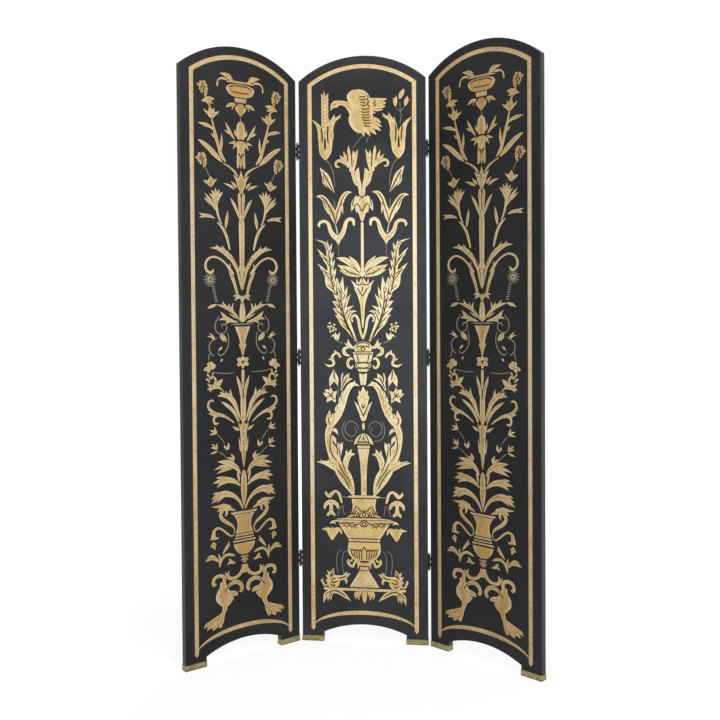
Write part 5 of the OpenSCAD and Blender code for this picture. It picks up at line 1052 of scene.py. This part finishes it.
class Relief:
    """The raised strokes of one panel, gathered into one mesh with its ridge and tint attributes.
    The drawing is raised towards mid height by a share of the height, as in the solids, and its strokes
    are wider than the tables say by blunt, and broad ones by the share fuller of the rest."""

    def __init__(self, raise_share=0, blunt=0, fuller=0):
        self.raise_share = raise_share
        self.blunt = blunt
        self.fuller = fuller
        self.points = []
        self.faces = []
        self.ridges = []
        self.tints = []
        self.strokes = 0

    def shell(self, rows, mirrored=False, tint=None):
        """A closed shell over rows of (across, up, height, ridge) points, with its underside on the board.
        Without a tint of its own, it gets one that follows from its number."""
        first = len(self.points)
        wide = len(rows[0])
        self.strokes += 1
        if tint is None:
            tint = self.strokes * TINT_STEP % 1
        for row in rows:
            for x, up, height, ridge in row:
                t = up / TOP_H
                raised = TOP_H * (t + 4 * self.raise_share * t * (1 - t))
                self.points.append((-x if mirrored else x, -height, raised))
                self.ridges.append(ridge)
                self.tints.append(tint)
        for i in range(len(rows) - 1):
            a = first + i * wide
            self.faces += [(a + j, a + j + 1, a + j + wide + 1, a + j + wide) for j in range(wide - 1)]
            self.faces.append((a + wide - 1, a, a + wide, a + 2 * wide - 1))
        for i in (0, len(rows) - 1):
            self.faces.append(tuple(first + i * wide + j for j in range(wide)))

    def piece(self, name, place, material):
        """The mesh as an object in the scene, moved from the panel's own drawing to its place."""
        mesh = bpy.data.meshes.new(name)
        mesh.from_pydata([Vector(p) * MM for p in self.points], [], self.faces)
        for label, numbers in (("ridge", self.ridges), ("tint", self.tints)):
            mesh.attributes.new(label, "FLOAT", "POINT").data.foreach_set("value", numbers)
        work = bmesh.new()
        work.from_mesh(mesh)
        bmesh.ops.remove_doubles(work, verts=work.verts, dist=WELD_W * MM)
        bmesh.ops.dissolve_degenerate(work, dist=WELD_W * MM, edges=work.edges)
        bmesh.ops.recalc_face_normals(work, faces=work.faces)
        bmesh.ops.transform(work, matrix=place, verts=work.verts)
        work.to_mesh(mesh)
        work.free()
        mesh.materials.append(material)
        made = bpy.data.objects.new(name, mesh)
        bpy.context.scene.collection.objects.link(made)
        return made


def curve_points(rows, steps):
    """The smooth curve through a stroke's [across, up, width] points."""
    made = []
    for i in range(len(rows) - 1):
        a, b, c, d = (Vector(rows[k]) for k in (max(i - 1, 0), i, i + 1, min(i + 2, len(rows) - 1)))
        for j in range(steps):
            t = j / steps
            made.append(b + ((c - a) * t + (2 * a - 5 * b + 4 * c - d) * t ** 2
                             + (3 * b - a - 3 * c + d) * t ** 3) / 2)
    made.append(Vector(rows[-1]))
    return made


def across_line(line, i, row):
    """A row of (offset, height, ridge) set across a line at its point i."""
    place = line[i]
    ahead = (line[min(i + 1, len(line) - 1)] - line[max(i - 1, 0)]).xy.normalized()
    return [(place.x - ahead.y * offset, place.y + ahead.x * offset, height, ridge)
            for offset, height, ridge in row]


def section(width, top, crown, outline):
    """Cross-section of a raised stroke: (offset, height, ridge) from its left foot to its right one."""
    half = width / 2
    foot = half + outline
    shoulder = half - min(SHOULDER_W, SHOULDER_SHARE * half)
    left = [(-foot, 0, 0), (-foot, top - 3 * EDGE_DROP, 0),
            (-half - outline * RIM_SHARE, top - 2 * EDGE_DROP, RIM_RIDGE),
            (-half, top - EDGE_DROP, EDGE_RIDGE), (-shoulder, top, SHOULDER_RIDGE),
            (-CREST_SHARE * half, top + crown * CREST_RISE, CREST_RIDGE)]
    return left + [(0, top + crown, 1)] + [(-x, h, r) for x, h, r in reversed(left)]


def ease(share):
    """A smooth step from 0 to 1."""
    share = min(max(share, 0), 1)
    return share * share * (3 - 2 * share)


def add_stroke(relief, rows, layer, mirrored):
    """One stroke of raised gold. The outline of a lobe grows from its root, where it joins its stem."""
    wire = all(row[2] <= WIRE_W for row in rows)
    line = curve_points(rows, STROKE_STEPS)
    last = len(line) - 1
    made = []
    for i, place in enumerate(line):
        width = max(place[2], 0)
        if not wire:
            width += relief.blunt + relief.fuller * max(width - SLIM_W, 0)
        free = ease((i / last - ROOT_SHARE) / ROOT_FADE_SHARE) if layer and width > LOBE_MIN_W else 1
        top = (GOLD_T + LAYER_T * (layer % LAYERS)) * min(1, TIP_SHARE + width / HEIGHT_W)
        crown = CROWN_T * min(1, width / CROWN_W)
        outline = min(OUTLINE_W, OUTLINE_MIN_W + width * OUTLINE_SHARE) * free
        made.append(across_line(line, i, section(width, top, crown, outline)))
    relief.shell(made, mirrored, WIRE_TINT if wire else None)


def add_line(relief, places, width, mirrored=False):
    """A dark line on top of the gold. It narrows at its ends, but not where it meets its mirror image."""
    line = curve_points([[*place[:2], 0] for place in places], STROKE_STEPS)
    last = len(line) - 1
    made = []
    for i in range(len(line)):
        start = 1 if places[0][0] == 0 else LINE_END_SHARE + LINE_FADE * i / last
        half = width / 2 * min(1, start, LINE_END_SHARE + LINE_FADE * (last - i) / last)
        side = VEIN_T - VEIN_SLOPE_T
        row = [(-half, 0, 0), (-half, side, 0), (0, VEIN_T, 0), (half, side, 0), (half, 0, 0)]
        made.append(across_line(line, i, row))
    relief.shell(made, mirrored)


def add_lines(relief, lines):
    """Dark lines on both sides of the centreline."""
    for places in lines:
        for mirrored in (False, True):
            add_line(relief, places, LINE_W, mirrored)


def motif(relief, strokes, mirrored=False, vein=False):
    """Strokes laid one on another, each with a dark vein along it or none."""
    for layer, rows in enumerate(strokes):
        add_stroke(relief, rows, layer, mirrored)
    if vein:
        for layer, rows in enumerate(strokes):
            add_line(relief, rows[:-1], LOBE_VEIN_W if layer else VEIN_W, mirrored)


def paired(relief, strokes, vein=False):
    """A motif and its mirror image."""
    for mirrored in (False, True):
        motif(relief, strokes, mirrored, vein)


def centred(relief, strokes):
    """A motif on the centreline: a stroke along the line itself is drawn once, the others on both sides."""
    for layer, rows in enumerate(strokes):
        on_line = all(across == 0 for across, _, _ in rows)
        for mirrored in ((False,) if on_line else (False, True)):
            add_stroke(relief, rows, layer, mirrored)


def add_turned(relief, profile):
    """A turned part of a vessel over its [height, width] rows, rounded from side to side."""
    (low, low_w), (high, high_w) = profile[0], profile[-1]
    edge = min(TURNED_EDGE_W, (high - low) * TURNED_EDGE_SHARE)
    rows = [(low - past + edge * inwards, low_w, lift, ridge) for past, inwards, lift, ridge in TURNED_END]
    rows += [(up, width, 1, 1) for up, width in profile[1:-1]]
    rows += [(high + past - edge * inwards, high_w, lift, ridge)
             for past, inwards, lift, ridge in reversed(TURNED_END)]
    made = []
    for up, width, lift, ridge in rows:
        half = width / 2
        foot = half + OUTLINE_W
        row = [(half * u, up, (TURNED_T + TURNED_T * math.sqrt(1 - ROUNDNESS * u * u)) * lift, ridge * shade)
               for u, shade in ROUND]
        made.append([(-foot, up, 0, 0), (-foot, up, TURNED_OUTLINE_T * lift, 0)] + row
                    + [(foot, up, TURNED_OUTLINE_T * lift, 0), (foot, up, 0, 0)])
    relief.shell(made, tint=TURNED_TINT)


def add_disc(relief, x, up, size, mirrored):
    """A round berry or cone scale with a dark rim."""
    turns = [2 * math.pi * i / DISC_SIDES for i in range(DISC_SIDES)]
    rows = []
    for reach, height, ridge in DISC_RINGS:
        radius = size / 2 * reach
        rows.append([(x + radius * math.cos(turn), up + radius * math.sin(turn), height, ridge)
                     for turn in turns])
    relief.shell(rows, mirrored)


def add_spot(relief, x, up, size, mirrored):
    """A dark spot on the gold."""
    add_line(relief, [[x - size * SPOT_SHARE, up], [x + size * SPOT_SHARE, up]], size, mirrored)


def berries(relief):
    """A cluster of berries on each side."""
    for x, up in BERRIES:
        for mirrored in (False, True):
            add_disc(relief, x, up, BERRY_SIZE, mirrored)


def cones(relief):
    """Pale scales round two cones on each side, with dark pits between them."""
    for across, along in ((0, 0), LOW_CONE_SHIFT):
        for mirrored in (False, True):
            for x, up in CONE_SCALES:
                add_disc(relief, x + across, up + along, CONE_SCALE_W, mirrored)
            for x, up in CONE_PITS:
                add_spot(relief, x + across, up + along, CONE_PIT_W, mirrored)


def wheat_ear():
    """Pairs of grains, and the stem over them."""
    x, up = GRAIN_PLACE
    grains = [[[x + side * g[0], up + GRAIN_RISE * i + g[1], g[2]] for g in GRAIN]
              for i in range(GRAINS) for side in (-1, 1)]
    return grains + [EAR_STEM]


def bead(i):
    """Bead i of the string, which grows by the same step each time."""
    return [[p[k] + BEAD_STEP[k] * i for k in range(3)] for p in FIRST_BEAD]


def petal(i):
    """Petal i of the daisy."""
    turn = 2 * math.pi * i / PETALS
    return [[DAISY[0] + reach * math.cos(turn), DAISY[1] + reach * math.sin(turn), width]
            for reach, width in PETAL_REACH]


def centre_ornament(relief):
    """The centre panel's gilding. The order of the strokes sets their tints."""
    motif(relief, BIRD)
    motif(relief, BIRD_LEG)
    for places in BIRD_LINES:
        add_line(relief, places, LINE_W)
    motif(relief, wheat_ear())
    for strokes in BUD:
        motif(relief, strokes)
    for strokes, vein in ((CALYX, False), (PALMETTE, False), (SIDE_LEAF, True), (VEE, True), (VOLUTE, False),
                          (MID_LEAF, False), (HOOK, False), (LOW_FROND, True), (HIGH_FROND, True),
                          (BERRY_CALYX, False), (URN_SCROLL, False), (URN_LEAF, False), (SCROLL, False),
                          (VOLUTE_FOOT, False), (BASE_DROP, True), (BEAST, False), (TAIL, False)):
        paired(relief, strokes, vein)
    for strokes in (TUBE, LOTUS, THISTLE, SPEAR, TORCH, BASE_LEAF):
        centred(relief, strokes)
    for strokes in MAST + DROP:
        centred(relief, strokes)
    for strokes in RIBBON + IVY + RIBBON_END:
        paired(relief, strokes)
    for strokes in (WIRE, DROP_WIRE, TENDRIL, REED):
        paired(relief, strokes)
    for rows in HOLLOWS:
        for mirrored in (False, True):
            add_line(relief, rows, rows[0][2], mirrored)
    berries(relief)
    for profile in URN + COLUMN + KRATER:
        add_turned(relief, profile)
    for lines in (LEAF_LINES, FROND_LINES, URN_LINES, IVY_LINES, SCROLL_LINES, KRATER_LINES, FOOT_LINES):
        add_lines(relief, lines)


def side_ornament(relief):
    """A side panel's gilding, in an order that sets the tints too."""
    for strokes in (BOWL_WING, BULB_LEAF, STALK, LANCE, STAR_FLOWER, BELL_FLOWER, CONE, LOW_CONE, CONE_STEM,
                    CUP_FLOWER, PINK, SPRAY, CURL, LEG, DAISY_EYE, DAISY_LEAF, CLAW_LEG):
        paired(relief, strokes)
    for strokes in (BULB, ACORN, CAP, KNOP, STEM, CROWN, SHAFT, FUNNEL, QUATREFOIL, FORK, SPINDLE, PILLAR,
                    YOKE):
        centred(relief, strokes)
    for strokes in CAP_PIP + FUNNEL_LINE:
        centred(relief, strokes)
    for strokes in (ACORN_LEAF + PINK_LEAF + KNOP_LEAF + OAK_LEAF + VINE + VINE_FLOWER + BOUGH + TWIG
                    + PLUME + AMPHORA_HANDLE + BRANCH):
        paired(relief, strokes)
    cones(relief)
    paired(relief, [bead(i) for i in range(BEADS)] + [petal(i) for i in range(PETALS)])
    for mirrored in (False, True):
        add_spot(relief, DAISY[0], DAISY[1], DAISY_PIT_W, mirrored)
    for profile in BOWL + AMPHORA:
        add_turned(relief, profile)
    add_lines(relief, SIDE_LINES)


def stripe_rows(pairs):
    """Cross-sections of the border stripe at pairs of places on its outer and inner edge."""
    rows = []
    for outer, inner in pairs:
        away = outer - inner
        width = max(away.length, HAIR_W)
        full = min(1, width / STRIPE_FULL_W)
        row = []
        for share, outwards, height, ridge in STRIPE_SECTION:
            place = inner + away / width * (width * share + outwards * full)
            row.append((place.x, place.y, height, ridge))
        rows.append(row)
    return rows


def gold_border(relief):
    """The stripe up the sides and over the arch, and the one that spans the feet."""
    outer_x = HALF_W - STRIPE_SIDE
    middle_x = outer_x - STRIPE_W / 2
    inner_x = outer_x - STRIPE_W
    r = ARCH_R - STRIPE_TOP

    def arch(radius, reach, i):
        a = math.asin(reach / radius) * (1 - 2 * i / ARCH_STEPS)
        return Vector((-radius * math.sin(a), TOP_H - ARCH_R + radius * math.cos(a)))

    def level(outer, inner, height):
        return Vector((outer, height)), Vector((inner, height))

    tip_outer, tip_inner = middle_x + STRIPE_TIP_HALF_W, middle_x - STRIPE_TIP_HALF_W
    pairs = [level(-tip_outer, -tip_inner, STRIPE_TIP_H), level(-outer_x, -inner_x, STRIPE_SPRING_H)]
    pairs += [(arch(r, outer_x, i), arch(r - STRIPE_W, inner_x, i)) for i in range(ARCH_STEPS + 1)]
    pairs += [level(outer_x, inner_x, STRIPE_SPRING_H), level(tip_outer, tip_inner, STRIPE_TIP_H)]
    relief.shell(stripe_rows(pairs))
    rise = STRIPE_CROWN_H - STRIPE_W / 2 - STRIPE_SPRING_H
    pairs = []
    for i in range(ARCH_STEPS + 1):
        a = math.pi / 2 * (1 - 2 * i / ARCH_STEPS)
        x = -middle_x * math.sin(a)
        pairs.append((Vector((x, STRIPE_SPRING_H + rise * math.cos(a) - HAIR_W)),
                      Vector((x, STRIPE_SPRING_H + (rise + STRIPE_W) * math.cos(a) + HAIR_W))))
    relief.shell(stripe_rows(pairs))


def dress_panel(panel, gold):
    """The raised gilding of one panel, in the places of its two gilding nodes."""
    if panel == "centre_panel":
        ornament = Relief(*CENTRE_STYLE)
        centre_ornament(ornament)
    else:
        ornament = Relief(*SIDE_STYLE)
        side_ornament(ornament)
    border = Relief()
    gold_border(border)
    for made, part in ((ornament, "gold_ornament"), (border, "gold_border")):
        piece = made.piece(f"{panel}_raised_{part}", panel_place(panel), gold)
        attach(piece, panel)
        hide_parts(f"{panel}_{part}")


def give(node, material, eased=0):
    """Puts a finish on a node, and eases its sharp edges by this width."""
    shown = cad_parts[node]
    for slot in shown.material_slots:
        slot.material = material
    if eased:
        weld = shown.modifiers.new("join", "WELD")
        weld.merge_threshold = EASE_WELD_W * MM
        bevel = shown.modifiers.new("ease", "BEVEL")
        bevel.width = eased * MM
        bevel.segments = 2
        bevel.limit_method = "ANGLE"
        bevel.angle_limit = math.radians(EASE_ANGLE)


def finish_nodes():
    """The finishes of all nodes that keep their own shape."""
    # The centre lacquer is painted lighter and the side lacquer darker: painted light and shade for how each
    # panel faces the lamps
    sides = lacquer("side_lacquer_painted_shade", (0.012, 0.012, 0.013), (0.020, 0.021, 0.023))
    centre = lacquer("centre_lacquer_painted_light", (0.019, 0.020, 0.022), (0.040, 0.043, 0.048), 0.02)
    backs = lacquer("back_lacquer", (0.012, 0.012, 0.013), (0.022, 0.023, 0.024))
    stained = ebonised_wood()
    softwood = bare_softwood()
    brass = shoe_brass()
    bronze = hinge_bronze()
    for panel in PANELS:
        give(f"{panel}_front_board", centre if panel == "centre_panel" else sides, BOARD_EASE)
        give(f"{panel}_back_board", backs, BOARD_EASE)
        for part in ("left_stile", "right_stile", "top_rail", "bottom_rail"):
            give(f"{panel}_{part}", stained)
        give(f"{panel}_core_board", softwood)
        for part in ("left_shoe", "right_shoe"):
            give(f"{panel}_{part}", brass, SHOE_EASE)
        give(f"{panel}_shoe_screws", brass)
        give(f"{panel}_hinge_screws", bronze)
    for seam in SEAMS:
        for place in PLACES:
            for part in ("side_leaf", "centre_leaf", "pin"):
                give(f"{seam}_{place}_hinge_{part}", bronze)


def unseen_by_lamps(p):
    """1 for the camera, for mirror-like reflections and through glass, 0 for the light on the object."""
    camera, glossy, glass = (p.node("ShaderNodeLightPath", out=f"Is {ray} Ray")
                             for ray in ("Camera", "Glossy", "Transmission"))
    return camera.highest(glossy).highest(glass)


def pale_floor():
    """Plain and pale: white to the camera, except for the object's soft shadow round its feet."""
    p = Paint("pale_floor")
    away = p.node("ShaderNodeVectorMath", {"operation": "LENGTH"}, {0: p.place()}, out=1)
    away = p.ramp(away, *FLOOR_FADE)
    share = unseen_by_lamps(p) * (away * (1 - FLOOR_SHARE) + FLOOR_SHARE)
    shade = p.node("ShaderNodeBsdfDiffuse", values={"Color": FLOOR_GREY})
    white = p.node("ShaderNodeEmission", values={"Color": (1, 1, 1), "Strength": FLOOR_WHITE})
    p.node_out(p.node("ShaderNodeMixShader", values={0: share, 1: shade, 2: white}))
    return p.material


def pale_sky():
    """Soft light from all round, and plain white behind the object."""
    world = Paint("studio", "worlds")
    soft = world.node("ShaderNodeBackground", values={"Color": (1, 1, 1), "Strength": SKY_LIGHT})
    white = world.node("ShaderNodeBackground", values={"Color": (1, 1, 1), "Strength": 1})
    world.node_out(world.node("ShaderNodeMixShader", values={0: unseen_by_lamps(world), 1: soft, 2: white}),
                   "ShaderNodeOutputWorld")
    bpy.context.scene.world = world.material


def studio():
    """Floor, sky and lamps."""
    bpy.ops.object.select_all(action="DESELECT")
    bpy.ops.mesh.primitive_plane_add(size=FLOOR_SIZE, location=(0, 0, 0))
    floor = bpy.context.object
    floor.name = "floor"
    floor.data.materials.append(pale_floor())
    pale_sky()
    for name, place, aim, size, power in LAMPS:
        light = bpy.data.lights.new(name, "AREA")
        light.shape = "DISK"
        light.size = size
        light.energy = power
        lamp = bpy.data.objects.new(name, light)
        lamp.location = place
        lamp.rotation_euler = (Vector(aim) - Vector(place)).to_track_quat("-Z", "Y").to_euler()
        bpy.context.scene.collection.objects.link(lamp)


def camera():
    """The camera of the photograph."""
    lens = bpy.data.cameras.new("camera")
    lens.lens = CAMERA_LENS
    lens.sensor_width = CAMERA_SENSOR
    lens.shift_y = CAMERA_SHIFT_Y
    lens.clip_end = CAMERA_FAR
    eye = bpy.data.objects.new("camera", lens)
    yaw, pitch, roll = (math.radians(a) for a in (CAMERA_YAW, CAMERA_PITCH, CAMERA_ROLL))
    ahead = Vector((math.sin(yaw) * math.cos(pitch), math.cos(yaw) * math.cos(pitch), math.sin(pitch)))
    right = Vector((math.cos(yaw), -math.sin(yaw), 0))
    up = right.cross(ahead)
    right, up = math.cos(roll) * right + math.sin(roll) * up, math.cos(roll) * up - math.sin(roll) * right
    eye.matrix_world = Matrix.Translation(CAMERA_PLACE) @ Matrix(
        ((right.x, up.x, -ahead.x), (right.y, up.y, -ahead.y), (right.z, up.z, -ahead.z))).to_4x4()
    bpy.context.scene.collection.objects.link(eye)
    bpy.context.scene.camera = eye


finish_nodes()
# The centre gilding is painted paler and brighter, the side gilding darker: painted light and shade for how
# each panel faces the lamps
shaded_side_gold = gold_leaf("side_gilding_painted_shade", (0.056, 0.030, 0.010), (0.37, 0.235, 0.085), (0.66, 0.515, 0.29),
                      (0.54, 0.29, 0.045), (0.80, 0.73, 0.52), 0.35)
lit_centre_gold = gold_leaf("centre_gilding_painted_light", (0.060, 0.032, 0.011), (0.50, 0.325, 0.12), (0.85, 0.67, 0.39),
                        (0.80, 0.54, 0.14), (1.0, 0.91, 0.60), 0.9)
for panel in PANELS:
    dress_panel(panel, lit_centre_gold if panel == "centre_panel" else shaded_side_gold)
studio()
camera()
bpy.context.scene.view_settings.view_transform = "Standard"
